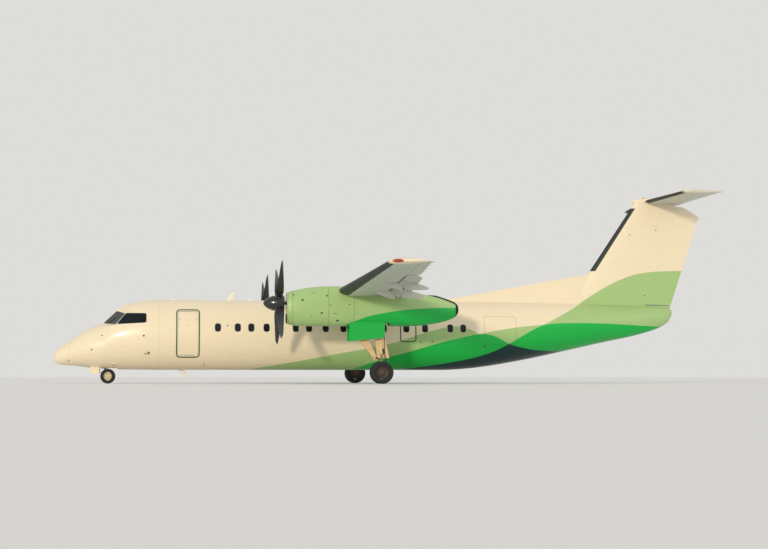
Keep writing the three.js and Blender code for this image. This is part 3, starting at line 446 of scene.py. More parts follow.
# Stainless steel in hot gas: stained brown black, with little of its metal sheen left; lining the intakes and
# shaft holes, the same near black is painted shade
SOOTED_STEEL_AND_INTAKE_SHADE = mottled("heat_stained_steel_and_intake_shade", "141516", "2a2725", 14.0, 0.45, 0.6, bump=0.3)
# Erosion coat sprayed on composite blades: black and satin, with paler paint at the tips
BLADE_COAT = mottled("black_blade_coat", "111317", "1d2025", 12.0, 0.36, bump=0.15)
BLADE_TIP = mottled("pale_blade_tip_paint", "b9b6aa", "a7a396", 14.0, 0.4)
# Enamel over spun aluminium: black with sharp highlights
SPINNER_PAINT = mottled("black_spinner_enamel", "121419", "1a1d22", 8.0, 0.22, coat=0.5)
# Enamel over rough forgings: warm cream, slightly uneven
LEG_ENAMEL = mottled("cream_leg_enamel", "dabc8d", "d1b07f", 6.0, 0.4, coat=0.15, bump=0.2)
# Weathered cadmium plating: a dull, yellowish grey metal
LEG_STEEL = mottled("cadmium_plated_steel", "6a6455", "4d4a42", 20.0, 0.42, 0.75, bump=0.2)
# Ground hard chrome under a film of oil: a brownish mirror
OLEO_CHROME = mottled("oiled_hard_chrome", "93897a", "756c60", 30.0, 0.2, 1.0, rough_swing=0.03)
# Vulcanised rubber with runway dust on it: matt charcoal
TYRE_RUBBER = mottled("aircraft_tyre_rubber", "17191b", "26292b", 26.0, 0.82, bump=0.5)
# Cast wheels under brake dust: dark brown, hardly shining; the nose wheels' are enamelled cream
HUB_ALLOY = mottled("brake_dusted_wheel_alloy", "5d4d40", "3f342c", 16.0, 0.5, 0.4, bump=0.2)
HUB_CREAM = mottled("cream_wheel_enamel", "dacdab", "cabc99", 14.0, 0.42, bump=0.2)
# Ground steel discs and bolts: dark metal with blotches
BRAKE_STEEL = mottled("brake_disc_steel", "35312d", "57504a", 40.0, 0.5, 0.8, bump=0.3)
# Rubber hose in a braid, drawn coarser than it is so that it shows: black and rough
HOSE_RUBBER = mottled("braided_hose", "1a1b1c", "2c2d2f", 90.0, 0.6, bump=0.4)
# Zinc primer sprayed in the bays: flat grey green
PRIMER = mottled("green_zinc_primer", "8d9876", "838e6b", 7.0, 0.55, bump=0.2)
# Moulded plastic walls of the entrance: warm pale grey, without gloss
LINING = mottled("moulded_cabin_lining", "dad7cd", "d3d0c6", 3.0, 0.6, bump=0.2)
# Moulded rubber treads: dark grey with a coarse grain
FLOOR_MAT = mottled("ribbed_floor_mat", "34373a", "45484b", 40.0, 0.8, bump=0.6)
# Laminated glass, glossy: its bluish black is painted shade, standing for the unlit flight deck behind it
GLASS = mottled("laminated_windscreen", "080b10", "101a24", 1.4, 0.06, rough_swing=0.02, ior=1.32)
# Stretched acrylic, a little softer in its gloss: its blue black is painted shade, standing for the unlit
# cabin behind it
CABIN_GLASS = mottled("stretched_acrylic_pane", "10141b", "1a212c", 3.0, 0.12, rough_swing=0.03, ior=1.35)
# Brushed marking paint round the doors: dark green, satin
SEAL_PAINT = mottled("dark_green_marking_paint", "0a4a2e", "10583a", 9.0, 0.38)
# Pressed aluminium frames and straps, painted: cream, a shade darker than the skin
FRAME_METAL = mottled("painted_window_frame", "d8cbaa", "c6b894", 12.0, 0.4)
# Rubber along glass, dark joint lines, probes and wipers: dark grey, matt; in the coves and slots cut for
# moving surfaces the same dark grey is painted shade
DARK_SEAL_AND_COVE_SHADE = mottled("dark_seal_paint_and_cove_shade", "33373a", "444a4a", 12.0, 0.6)
# Moulded lenses over lamps that are off: deep coloured plastic with a hard gloss
RED_LENS = mottled("red_lamp_lens", "8e2a1c", "a83a22", 10.0, 0.12, coat=0.5)
GREEN_LENS = mottled("green_lamp_lens", "1d7a48", "289458", 10.0, 0.12, coat=0.5)
CLEAR_LENS = mottled("clear_lamp_lens", "d9d4c4", "c2bca9", 10.0, 0.08, coat=0.6)
AMBER_LENS = mottled("amber_landing_lamp_cover", "d08a3c", "b8742c", 10.0, 0.14, coat=0.5)
# Drawn stainless tube: bright grey metal, rubbed dull by hands
BARE_STEEL = mottled("stainless_steel", "8b8d8f", "75787b", 25.0, 0.32, 0.9)
# Painted glass fibre: warm white, satin
WHITE_COVER = mottled("white_antenna_cover", "f2ecdc", "e2dac6", 6.0, 0.35)
# Sealant wiped into joints: mid grey, matt
PANEL_SEALANT = mottled("grey_panel_sealant", "8b8d87", "797c77", 12.0, 0.6)
# Rods under soot and dark joint lines: brown black, matt; on the vents and ports the same dark is painted
# shade in their openings
VENT_SHADE_AND_DARK_METAL = mottled("vent_shade_and_dark_metal", "2c2a20", "3d3a2a", 30.0, 0.6, 0.3)
# Enamel over cast engine cases: blue grey, satin
ENGINE_GREY = mottled("grey_engine_enamel", "5b6165", "454b4f", 10.0, 0.5, 0.3, bump=0.3)


# Fuselage

FUSELAGE = np.array([
    [0, -870, -910, 20], [30, -765, -1010, 130], [120, -610, -1110, 270], [300, -450, -1160, 410],
    [620, -235, -1180, 560], [910, -30, -1205, 700], [1230, 170, -1245, 830], [1550, 335, -1285, 935],
    [1875, 480, -1312, 1020], [2180, 900, -1322, 1100], [2500, 1090, -1328, 1170], [2820, 1180, -1333, 1235],
    [3140, 1265, -1337, 1285], [3460, 1310, -1341, 1320], [4090, 1345, -1345, 1345],
    [15000, 1345, -1345, 1345], [16000, 1345, -1290, 1338], [16800, 1343, -1195, 1310],
    [18400, 1338, -920, 1190], [20000, 1325, -580, 990],
    [21600, 1300, -230, 740], [22800, 1270, 20, 520], [23800, 1220, 310, 310], [24200, 1185, 520, 200],
    [24400, 1120, 760, 110], [24460, 1060, 880, 40]], float)
CABIN_RADIUS = 1345.0
RADOME_X = 620.0
TAIL_X = 24460.0
BLUNTNESS = 4
ROOTED = np.column_stack([np.sqrt(FUSELAGE[:, 0] + BLUNTNESS), FUSELAGE[:, 1:]])

# Corners of the starboard windscreen pane, and from where to where the glazing shapes the nose
PANE = {"foot": (1880, 55, 446), "crown": (2370, 55, 897), "brow": (2690, 770, 786), "post": (2345, 935, 366)}
PANE_CORNERS = np.array(list(PANE.values()), float)
PANE_NORMAL = np.cross(PANE_CORNERS[3] - PANE_CORNERS[0], PANE_CORNERS[2] - PANE_CORNERS[0])
PANE_NORMAL *= np.sign(PANE_NORMAL[2]) / np.linalg.norm(PANE_NORMAL)
GLAZED = {"front": 900, "back": 2900, "soft": 14.0}
DECK_SLOPE = 0.3


def glazing_height(x, across):
    """Height that the nose keeps under: a deck that rises to the windscreen's sill, then the flat
    pane's plane, which is where the plane's equation puts z for this x and distance from the middle."""
    foot, post = PANE_CORNERS[0], PANE_CORNERS[3]
    part = across / post[1]
    sill_x = foot[0] + part * (post[0] - foot[0])
    sill_z = foot[2] + part * (post[2] - foot[2])
    deck = sill_z - (sill_x - x) * DECK_SLOPE
    pane = foot[2] - (PANE_NORMAL[0] * (x - foot[0]) + PANE_NORMAL[1] * (across - foot[1])) / PANE_NORMAL[2]
    return np.where(x < sill_x, deck, pane)


def hull_sizes(x):
    """Top, bottom and half width at x, as fair curves over the square root of x, so the nose is blunt."""
    at = np.sqrt(np.asarray(x, float) + BLUNTNESS)
    return [fair(ROOTED, at, column) for column in (1, 2, 3)]


def hull(x, angle, lift=0.0):
    """Points of the skin: an ellipse at each x, angle from the crown towards starboard, under the
    windscreen's planes by a soft minimum of 14 mm. lift moves it outwards."""
    x, angle = np.broadcast_arrays(np.asarray(x, float), np.asarray(angle, float))
    top, bottom, half = hull_sizes(x)
    y = (half + lift) * np.sin(angle)
    z = (top + bottom) / 2 + ((top - bottom) / 2 + lift) * np.cos(angle)
    limit = glazing_height(x, np.abs(y)) + lift
    near = (x > GLAZED["front"]) & (x < GLAZED["back"])
    gap = np.clip((z - limit) / GLAZED["soft"], -40, 40)
    held = z - GLAZED["soft"] * np.log1p(np.exp(gap))
    return np.stack([x, y, np.where(near, held, z)], -1)


def flank(x, z, side, lift=0.0):
    """Points of the skin at a place on the side view: the ellipse solved for its width at that height."""
    x, z = np.broadcast_arrays(np.asarray(x, float), np.asarray(z, float))
    top, bottom, half = hull_sizes(x)
    rise = (top - bottom) / 2
    height = np.clip((z - (top + bottom) / 2) / rise, -0.9999, 0.9999)
    width = np.sqrt(1 - height ** 2)
    normal = np.stack([width / half, height / rise], -1)
    normal /= np.linalg.norm(normal, axis=-1, keepdims=True)
    return np.stack([x, side * (half * width + lift * normal[..., 0]), z + lift * normal[..., 1]], -1)


def rounded_box(half_x, half_z, corner, count):
    """Points spaced evenly round a box with round corners, with the way out at each: four quarter
    circles laid end to end, joined by straight sides and sampled by length."""
    turn = np.linspace(0, np.pi / 2, 13)
    loop, ways = [], []
    for quarter, (sign_x, sign_z) in enumerate(((1, 1), (-1, 1), (-1, -1), (1, -1))):
        way = np.column_stack([np.cos(turn + quarter * np.pi / 2), np.sin(turn + quarter * np.pi / 2)])
        loop.append((sign_x * (half_x - corner), sign_z * (half_z - corner)) + corner * way)
        ways.append(way)
    loop, ways = np.vstack(loop + [loop[0][:1]]), np.vstack(ways + [ways[0][:1]])
    length = np.concatenate([[0], np.cumsum(np.linalg.norm(np.diff(loop, axis=0), axis=1))])
    at = np.linspace(0, length[-1], count, endpoint=False)
    points, out = [np.column_stack([np.interp(at, length, part[:, k]) for k in (0, 1)])
                   for part in (loop, ways)]
    return points, out / np.linalg.norm(out, axis=1, keepdims=True)


def skin_plate(x0, z0, half_x, half_z, side, rows, corner, count=64, lids=True):
    """A plate that follows the fuselage's side. rows are (part of the way from the middle to the edge,
    millimetres beyond it, height over the skin), from the outer face's middle round to the inner's."""
    points, out = rounded_box(half_x, half_z, corner, count)
    grid = []
    for part, grow, lift in rows:
        place = points * part + out * grow
        grid.append(flank(x0 + place[:, 0], z0 + place[:, 1], side, lift))
    return panel(np.array(grid), lids=lids)


# Millimetres that the edges of straps and lines lie under the skin
SUNK = 1.5


def ribbon_rows(width, lift):
    """Rows of a narrow band round an edge, its two borders sunk a little into what it lies on."""
    return [(1, -width / 2, -SUNK), (1, -width / 2 + 1, lift), (1, width / 2 - 1, lift),
            (1, width / 2, -SUNK)]


def line_rows(x):
    """Places and heights across a strap 10 mm wide that stands 0.8 mm off a skin."""
    return (np.array([x - 5, x - 4, x + 4, x + 5], float)[:, None],
            np.array([-SUNK, 0.8, 0.8, -SUNK])[:, None])


def quad_rows(corners, rows, soft, count=72):
    """Rounded outlines inside four corners (foot, post, brow, crown), spread between them by blending;
    rows are parts of the way from the middle to the edge."""
    points, _ = rounded_box(1, 1, soft, count)
    foot, post, brow, crown = np.asarray(corners, float)
    grid = []
    for part in rows:
        u, v = ((1 + points * part) / 2).T[:, :, None]
        grid.append(foot * (1 - u) * (1 - v) + post * u * (1 - v) + brow * u * v + crown * (1 - u) * v)
    return np.array(grid)


def on_pane(grid, lifts):
    """Points laid on the windscreen's plane, each row then raised square to it."""
    off = (grid - PANE_CORNERS[0]) @ PANE_NORMAL
    return grid + (np.asarray(lifts, float)[:, None] - off)[..., None] * PANE_NORMAL


def around(from_x, to_x, step):
    """Places from one x to another, about a step apart."""
    return np.linspace(from_x, to_x, max(2, int(round((to_x - from_x) / step)) + 1))


DOORWAY = {"front": 4680.0, "back": 5440.0, "sill": -810.0, "head": 862.0, "depth": 400.0}
DOOR_X = (DOORWAY["front"] + DOORWAY["back"]) / 2
DOOR_Z = (DOORWAY["sill"] + DOORWAY["head"]) / 2
NOSE_BAY = {"front": 1400.0, "back": 2420.0, "half": 300.0, "roof": -760.0}


def build_fuselage():
    """Skin, radome, doorway recess and nose wheel bay."""
    stations = np.concatenate([around(RADOME_X + 0.3, 1600, 30), around(1600, 2900, 12)[1:],
                               around(2900, 4090, 40)[1:], around(4090, 16000, 110)[1:],
                               around(16000, 24000, 90)[1:], around(24000, TAIL_X, 18)[1:]])
    turn = full_turn(176)
    edge, _ = rounded_box((DOORWAY["back"] - DOORWAY["front"]) / 2,
                          (DOORWAY["head"] - DOORWAY["sill"]) / 2, 40, 72)
    opening = np.array([np.insert(edge + (DOOR_X, DOOR_Z), 1, y, axis=1)
                        for y in (-1600.0, -DOORWAY["depth"])])
    bay = brick(NOSE_BAY["front"], NOSE_BAY["back"], -NOSE_BAY["half"], NOSE_BAY["half"], -1500,
                NOSE_BAY["roof"])
    make_piece("fuselage_skin", [closed(hull(stations[:, None], turn[None]))], [AIRLINER_PAINT],
               stands_for=["fuselage"], cuts=[(closed(opening), LINING), (bay, PRIMER)],
               stripes="hull")
    nose = np.linspace(0.0, 1.0, 44) ** 2 * RADOME_X
    make_piece("radome_shell", [closed(hull(nose[:, None], turn[None]))], [AIRLINER_PAINT],
               stands_for=["radome"])


build_fuselage()

WINDOW_PLACES = (6180, 6930, 7440, 8020, 8540, 9130, 9640, 10280, 10960, 11990, 12520, 13400, 14130,
                 15120, 15630)
WINDOW = {"half_x": 118.0, "half_z": 160.0, "z": 250.0}
# Corners of the side pane on the side view: front foot, rear foot, rear head, front head
SIDE_PANE = np.array([[2385, 368], [3505, 425], [3500, 787], [2727, 800]], float)


def build_windows():
    """Cabin panes set in rounded frames, with the flight deck's glazing and its seals."""
    panes, frames = [], []
    for _, side in SIDES:
        for x in WINDOW_PLACES:
            place = (x, WINDOW["z"], WINDOW["half_x"], WINDOW["half_z"], side)
            panes.append(skin_plate(*place, [(p, 0, 1.5) for p in (0.02, 0.4, 0.75, 0.97)]
                                    + [(1, 0, -6), (0.02, 0, -6)], 96, 36))
            frames.append(skin_plate(*place, [(1, -5, -4), (1, -5, 3), (1, 3, 5), (1, 12, 3.5), (1, 16, -2),
                                              (1, -5, -4)], 96, 36, lids=False))
    make_piece("cabin_window_panes", panes, [CABIN_GLASS])
    make_piece("cabin_window_frames", frames, [FRAME_METAL])
    face = (0.02, 0.3, 0.55, 0.78, 0.97)
    screen = PANE_CORNERS[[0, 3, 2, 1]]
    for name, side in SIDES:
        mirror = (1, side, 1)
        pane = on_pane(quad_rows(screen, face + (0.98, 0.02), 0.16), [4.0] * len(face) + [-10.0] * 2)
        make_piece(f"windscreen_pane_{name}", [closed(pane * mirror)], [GLASS],
                   stands_for=[f"windscreen_{name}"])
        seal = on_pane(quad_rows(screen, (0.955, 0.965, 1.0, 1.02), 0.16), [-4.0, 6.0, 6.0, -6.0])
        band = quad_rows(SIDE_PANE, face + (0.98, 0.02), 0.2, 120)
        lifts = np.array([3.0] * len(face) + [-10.0] * 2)[:, None]
        band = flank(band[..., 0], band[..., 1], side, lifts)
        make_piece(f"side_window_pane_{name}", [closed(band)], [GLASS], stands_for=[f"side_window_{name}"])
        rim = quad_rows(SIDE_PANE, (0.95, 0.955, 0.995, 1.01), 0.2, 120)
        rim = flank(rim[..., 0], rim[..., 1], side, np.array([-4.0, 5.0, 5.0, -4.0])[:, None])
        make_piece(f"glazing_seals_{name}", [panel(seal * mirror), panel(rim)],
                   [DARK_SEAL_AND_COVE_SHADE])


build_windows()


def spot(skin, x, z, half_x, half_z, lift):
    """A low oval button on a skin, whose points skin gives for x, z and a height over it."""
    turn = full_turn(20)
    rows = [(0.04, lift), (0.5, lift * 0.97), (0.8, lift * 0.8), (0.95, lift * 0.45), (1.0, 0.0),
            (1.0, -3.0), (0.04, -3.0)]
    return closed(np.array([skin(x + half_x * part * np.cos(turn), z + half_z * part * np.sin(turn), height)
                            for part, height in rows]))


def dome(x, y, z, half_x, half_y, rise):
    """An oval blister that stands on z, or hangs from it where rise is below nought."""
    turn = full_turn(28)
    climb = np.linspace(0, np.pi / 2 - 0.03, 9)
    width = np.concatenate([[1.0], np.cos(climb)])[:, None]
    height = np.concatenate([[-0.5], np.sin(climb)])[:, None]
    return closed(np.stack([x + half_x * width * np.cos(turn), y + half_y * width * np.sin(turn),
                            z + rise * height + 0 * turn], -1))


def blade_antenna(x0, x1, lean, z0, z1, half):
    """A swept blade with a lens-shaped section, which thins towards its rounded tip."""
    turn = full_turn(24)
    share = np.concatenate([np.linspace(0, 0.9, 8), [0.96, 0.99, 1.0]])[:, None]
    end = np.sqrt(np.clip(1 - ((share - 0.9) / 0.1).clip(0) ** 2, 0.05, 1))
    chord = (x1 - x0) / 2 * (1 - 0.5 * share) * (0.4 + 0.6 * end)
    x = (x0 + x1) / 2 + lean * share + chord * np.cos(turn)
    y = half * (1 - 0.5 * share) * end * np.sin(turn)
    return closed(np.stack([x, y, z0 + (z1 - z0) * share + 0 * turn], -1))


# Front and rear x of the foot, sweep, foot's and tip's z, half thickness
BLADE_ANTENNAS = ((6490, 6790, 195, 1300, 1640, 16), (4660, 4900, 265, -1300, -1600, 22))
# x, half length and rise on the crown
ROOF_BLISTERS = ((3700, 110, 42), (4540, 150, 70), (5650, 60, 40), (7500, 140, 60))
# x, z, half length, half height and rise on either flank
BELLY_LAMPS = ((2250, -1120, 55, 60, 46), (5640, -1120, 55, 60, 40))
SKIN_PORTS = ((1850, -60, 42, 14, 6), (1470, -590, 26, 30, 4), (590, -1010, 34, 14, 3),
              (3410, -70, 34, 38, 5), (6540, 320, 26, 28, 3), (13940, 556, 34, 22, 4),
              (14390, 548, 34, 22, 4), (13960, -259, 34, 22, 4), (14410, -260, 34, 22, 4),
              (16500, -435, 34, 34, 4), (17200, -1010, 60, 26, 12))
TAIL_LAMP_X = 24300
PROBE = {"x": 3600, "z": -700, "out": 85}
BUTT_JOINTS = (RADOME_X, 3990)


def wiper(side):
    """A wiper's arm from its spindle at the pane's foot, and its blade on the glass."""
    foot, post, _, crown = PANE_CORNERS[[0, 3, 2, 1]] * (1, side, 1)
    normal = PANE_NORMAL * (1, side, 1)
    low = foot * 0.62 + post * 0.38 + normal * 16
    high = low + (crown - foot) * 0.62 + (post - foot) * 0.16
    return [tube([low - (26, 0, 10), low, (low + high) / 2, high], [13, 9, 8, 6], 12),
            tube([low + (high - low) * 0.3 - normal * 6, low + (high - low) * 0.65 - normal * 6,
                  high - normal * 6], 7, 10)]


def build_fittings():
    """Antennas, blisters, lamps, probes, vents and wipers of the fuselage."""
    shells = [blade_antenna(*blade) for blade in BLADE_ANTENNAS]
    shells += [dome(x, 0, float(hull_sizes(x)[0]) - 6, half_x, 90, rise) for x, half_x, rise in ROOF_BLISTERS]
    make_piece("antenna_covers", shells, [WHITE_COVER])
    lamps = [dome(TAIL_LAMP_X, 0, float(hull_sizes(TAIL_LAMP_X)[1]) + 6, 70, 45, -52)]
    dots, probes = [], []
    for _, side in SIDES:
        def skin(x, z, lift, side=side):
            return flank(x, z, side, lift)
        lamps += [spot(skin, *lamp) for lamp in BELLY_LAMPS]
        dots += [spot(skin, *port) for port in SKIN_PORTS]
        root = flank(PROBE["x"], PROBE["z"], side, -8)
        out = flank(PROBE["x"] - 15, PROBE["z"], side, PROBE["out"])
        probes += [tube([root, (root + out) / 2, out], [16, 13, 11], 14),
                   tube([out + (10, 0, 0), out - (60, 0, 0), out - (170, 0, 0)], [12, 11, 7], 14),
                   spot(skin, PROBE["x"], PROBE["z"], 46, 24, 7)] + wiper(side)
    make_piece("belly_lamps", lamps, [CLEAR_LENS])
    # The ports are dark ovals: painted shade standing for their openings
    make_piece("skin_ports", dots, [VENT_SHADE_AND_DARK_METAL])
    make_piece("probes_and_wipers", probes, [DARK_SEAL_AND_COVE_SHADE])
    rings = [panel(hull(at, full_turn(120)[None], lift)) for at, lift in map(line_rows, BUTT_JOINTS)]
    make_piece("skin_butt_joints", rings, [FRAME_METAL])


build_fittings()

# x, z, half length, half height, side, then the corners' radius and the points round each
SURROUNDS = ((DOOR_X, DOOR_Z, 425, 898, -1, 112, 160), (5000, 60, 305, 560, 1, 110, 120),
             (13470, 245, 300, 505, -1, 100, 120), (13470, 245, 300, 505, 1, 100, 120))
HATCHES = ((17115, 190, 635, 535, -1, 40, 100), (16300, 120, 420, 560, 1, 40, 100))


def build_markings():
    """The doors' painted surrounds and the hatches' joint lines."""
    surrounds = [skin_plate(*place, ribbon_rows(46, 1.6), *corner, lids=False)
                 for *place, corner in [(*row[:5], row[5:]) for row in SURROUNDS]]
    make_piece("door_surrounds", surrounds, [SEAL_PAINT])
    joints = [skin_plate(*row[:5], ribbon_rows(9, 0.8), *row[5:], lids=False) for row in HATCHES]
    make_piece("panel_joints", joints, [DARK_SEAL_AND_COVE_SHADE])


build_markings()


# Wing

# y, leading edge x, chord, z of the chord line, thickness over chord
WING = np.array([[0, 10420, 2460, 1490, 0.18], [4500, 10420, 2460, 1490, 0.18],
                 [13560, 10930, 1330, 1900, 0.13], [13715, 11120, 1020, 1912, 0.07]], float)
TAIL = np.array([[0, 23310, 1790, 5450, 0.12], [3860, 23735, 1480, 5450, 0.1],
                 [3960, 23900, 1290, 5450, 0.05]], float)
ROOT_CHORD = WING[0, 2]
WING_CAMBER = 0.018
WING_TIP = 13560
WING_JOINT = 4500
FLAP_HINGE = 0.745
AILERON_HINGE = 0.77
ELEVATOR_HINGE = 0.66
FLAP_SET = 15.0
FLAP_PIVOT = {"part": 0.78, "drop": 400.0}
FLAP_GAP = 30.0
SURFACE_GAP = 12.0


def station(table, y):
    """A table's row between its rows, as leading edge, chord, height and thickness at each y."""
    return [np.interp(y, table[:, 0], table[:, column]) for column in (1, 2, 3, 4)]


def half_thickness(part, thick):
    """The usual four-digit section: half thickness over chord at a part of the chord."""
    curve = (0.2969 * np.sqrt(part) - 0.126 * part - 0.3516 * part ** 2 + 0.2843 * part ** 3
             - 0.1036 * part ** 4)
    return 5 * thick * curve + 0.001 * part


def camber_line(part, camber):
    """A parabola that is camber high at the middle of the chord."""
    return 4 * camber * part * (1 - part)


def foil_loop(count):
    """Chord parts and sides round a section, bunched at its edges: over the top from the tail to the
    nose, and back underneath."""
    over = (1 + np.cos(np.linspace(0, np.pi, count + 1))) / 2
    parts = np.concatenate([over, over[-2::-1]])
    return parts, np.concatenate([np.ones(count + 1), -np.ones(count)])


def foil_points(table, y, side, parts, faces, camber, lift=0.0):
    """Points on a wing at spans y (rows) and chord parts (columns): leading edge plus part of the chord,
    raised by camber and by half the thickness on the face that is asked for."""
    lead, chord, height, thick = [value[:, None] for value in station(table, np.asarray(y, float))]
    parts, faces = np.atleast_2d(parts), np.atleast_2d(faces)
    up = camber_line(parts, camber) + faces * half_thickness(parts, thick)
    x = lead + parts * chord
    z = height + up * chord + faces * lift
    return np.stack([x, np.broadcast_to(side * np.asarray(y, float)[:, None], x.shape), z], -1)


def surface_loop(thick, hinge):
    """Chord parts and heights of a hinged surface: over the top from the tail, round a nose centred on
    the hinge, and back underneath; heights are over the camber line."""
    parts = np.linspace(1, hinge, 10, endpoint=False)
    top = half_thickness(parts, thick)
    radius = half_thickness(hinge, thick)
    angle = np.pi / 2 + np.linspace(0, 1, 13) * np.pi
    nose = np.stack([hinge + radius * np.cos(angle), radius * np.sin(angle)])
    return np.concatenate([parts, nose[0], parts[::-1]]), np.concatenate([top, nose[1], -top[::-1]])


def surface_panel(table, ends, side, camber, hinge, count):
    """A hinged surface between two spans, ruled from one end's outline to the other's."""
    rings = []
    for y in ends:
        lead, chord, height, thick = [float(value) for value in station(table, y)]
        parts, up = surface_loop(thick, hinge)
        bend = np.where(parts >= hinge, camber_line(parts, camber), camber_line(hinge, camber))
        rings.append(np.column_stack([lead + parts * chord, np.full(len(parts), side * y),
                                      height + (bend + up) * chord]))
    share = np.linspace(0, 1, count)[:, None, None]
    return closed(rings[0] * (1 - share) + rings[1] * share)


def bay_cut(table, ends, side, hinge, gap):
    """What is cut out of a wing for a hinged surface, from just before its nose to past its tail."""
    rings = []
    for end, y in enumerate(ends):
        lead, chord, height, thick = [float(value) for value in station(table, y)]
        front = lead + (hinge - half_thickness(hinge, thick)) * chord - gap
        edge = side * (y + (gap if end else -gap))
        back = lead + chord + 300
        rings.append([(front, edge, height - 500), (back, edge, height - 500), (back, edge, height + 500),
                      (front, edge, height + 500)])
    # The cut's faces are dark grey: painted shade in the cove
    return slab(*rings), DARK_SEAL_AND_COVE_SHADE


def boot_panel(table, y0, y1, side, camber, low, high, lift=4.0, count=40):
    """A de-icer boot: a skin over the leading edge from a part of the chord underneath to one above, its
    edges sunk into the wing, with shallow tubes along the span."""
    y = np.linspace(y0, y1, count)
    under = np.linspace(1, 0, 15)[:-1] ** 1.6 * low
    over = np.linspace(0, 1, 12) ** 1.6 * high
    parts = np.concatenate([under, over])
    faces = np.concatenate([-np.ones(len(under)), np.ones(len(over))])
    grid = foil_points(table, y, side, parts, faces, camber)
    slope = np.gradient(grid[0], axis=0)
    out = np.column_stack([-slope[:, 2], np.zeros(len(parts)), slope[:, 0]])
    out /= np.linalg.norm(out, axis=-1, keepdims=True)
    out *= np.sign((out[:, 2] * faces).sum() or 1.0)
    wave = lift * (0.6 + 0.4 * np.cos(np.arange(len(parts)) * np.pi))
    wave[0] = wave[-1] = -3.0
    sheet = grid + out * wave[:, None]
    inner = grid - out * 6.0
    return closed(np.concatenate([sheet, inner[:, ::-1]], axis=1))


def pivot_at(y, side):
    """A flap's turning line at span y, below the wing by the share of the chord it has at the root."""
    lead, chord, height, _ = [float(value) for value in station(WING, y)]
    return np.array([lead + FLAP_PIVOT["part"] * chord, side * y,
                     height - FLAP_PIVOT["drop"] * chord / ROOT_CHORD])


def pod(y, side, rows):
    """A track fairing: rows are part of the chord, half width, and the depths of its top and bottom as
    parts of the pivot's depth; each section is flat above and half an ellipse below."""
    lead, chord, height, _ = [float(value) for value in station(WING, y)]
    deep = FLAP_PIVOT["drop"] * chord / ROOT_CHORD
    table = np.array(rows, float)
    at = np.linspace(table[0, 0], table[-1, 0], 18)
    half, high, low = [fair(table, at, column) for column in (1, 2, 3)]
    turn = full_turn(28)
    across = np.sign(np.cos(turn)) * np.abs(np.cos(turn)) ** 0.8
    down = np.where(np.sin(turn) > 0, np.abs(np.sin(turn)) ** 0.9, -0.04 * np.abs(np.sin(turn)))
    return closed(np.stack([np.broadcast_to((lead + at * chord)[:, None], (len(at), len(turn))),
                            side * y + half[:, None] * across,
                            height - deep * (high[:, None] + (low - high)[:, None] * down)], -1))


OUTER_TRACKS = (5950, 8350)
INNER_TRACKS = (1780, 3020)
INNER_FLAP = (1500, 3330)
OUTER_FLAP = (4600, 10020)
AILERON = (10120, 13220)
FIXED_POD = [(0.34, 6, 0.05, 0.2), (0.42, 26, 0.05, 0.42), (0.5, 44, 0.05, 0.66), (0.655, 57, 0.05, 1.0),
             (0.67, 57, 0.4, 1.02), (0.765, 50, 0.55, 1.14), (0.8, 40, 0.7, 1.12)]
MOVING_POD = [(0.86, 48, 0.05, 0.82), (0.98, 48, 0.02, 0.74), (1.1, 34, 0.05, 0.54), (1.2, 10, 0.1, 0.3)]
ARM_FOOT = [(0.86, 78, 0.1, 0.26), (0.93, 78, 0.08, 0.26)]
ARM = {"place": 70.0, "thick": 24.0}


def flap_arm(y, side):
    """A flap's arm beside the fixed pod, with its boss on the turning line, and the pod it carries."""
    pivot = pivot_at(y, side)
    lead, chord, height, _ = [float(value) for value in station(WING, y)]
    outline = [[pivot[0] - 32, pivot[2] - 26], [pivot[0] + 4, pivot[2] - 34], [pivot[0] + 40, pivot[2] - 20],
               [lead + 0.92 * chord, height - 0.01 * chord], [lead + 0.79 * chord, height - 0.015 * chord],
               [pivot[0] - 34, pivot[2] + 30]]
    far = ARM["place"] + ARM["thick"]
    boss = turned([(0, 20), (0, 30), (10, 30), (10, 20)], pivot + (0, side * far, 0), (0, side, 0), 24,
                  finish=1)
    return [plank(outline, side * (y + ARM["place"] + 0.3), side * (y + far)), boss,
            pod(y, side, MOVING_POD), pod(y, side, ARM_FOOT)]


def hatch_ring(x, y, half_x, half_y, side):
    """The sealant line round an oval tank hatch: a band 10 mm wide that stands 1 mm off the wing's
    lower face."""
    turn = full_turn(40)
    rows = []
    for grow, lift in ((-5, -SUNK), (-4, 1), (4, 1), (5, -SUNK)):
        at_x, at_y = x + (half_x + grow) * np.cos(turn), y + (half_y + grow) * np.sin(turn)
        lead, chord, height, thick = station(WING, at_y)
        part = np.clip((at_x - lead) / chord, 0, 1)
        up = camber_line(part, WING_CAMBER) - half_thickness(part, thick)
        rows.append(np.stack([at_x, side * at_y, height + up * chord - lift], -1))
    return panel(np.array(rows))


def wick(table, y, side):
    """A static discharger: a thin rod that trails 130 mm behind a wing's edge."""
    lead, chord, height, _ = [float(value) for value in station(table, y)]
    end = np.array([lead + chord - 12, side * y, height])
    return tube([end, end + (60, 0, -2), end + (142, 0, -4)], [4, 3, 1.5], 8)


def add_flap(label, ends, tracks, side, name):
    """A flap with its arms, made stowed and then lowered about its turning line."""
    panels = [surface_panel(WING, ends, side, WING_CAMBER, FLAP_HINGE, 24)]
    for y in tracks:
        panels += flap_arm(y, side)
    start, end = pivot_at(ends[0], side), pivot_at(ends[1], side)
    make_piece(f"{label}_skin_{name}", turn_panels(panels, start, (end - start) * side, FLAP_SET),
               [WING_PAINT, LEG_STEEL], f"{label}_{name}", [f"{label}_{name}"], crease=28)


def rounded_tip(reach, first, count):
    """Spans that close up towards a tip, so that a skin over them ends in a round."""
    return WING_TIP + reach * np.sin(np.linspace(first, 1, count) * np.pi / 2)


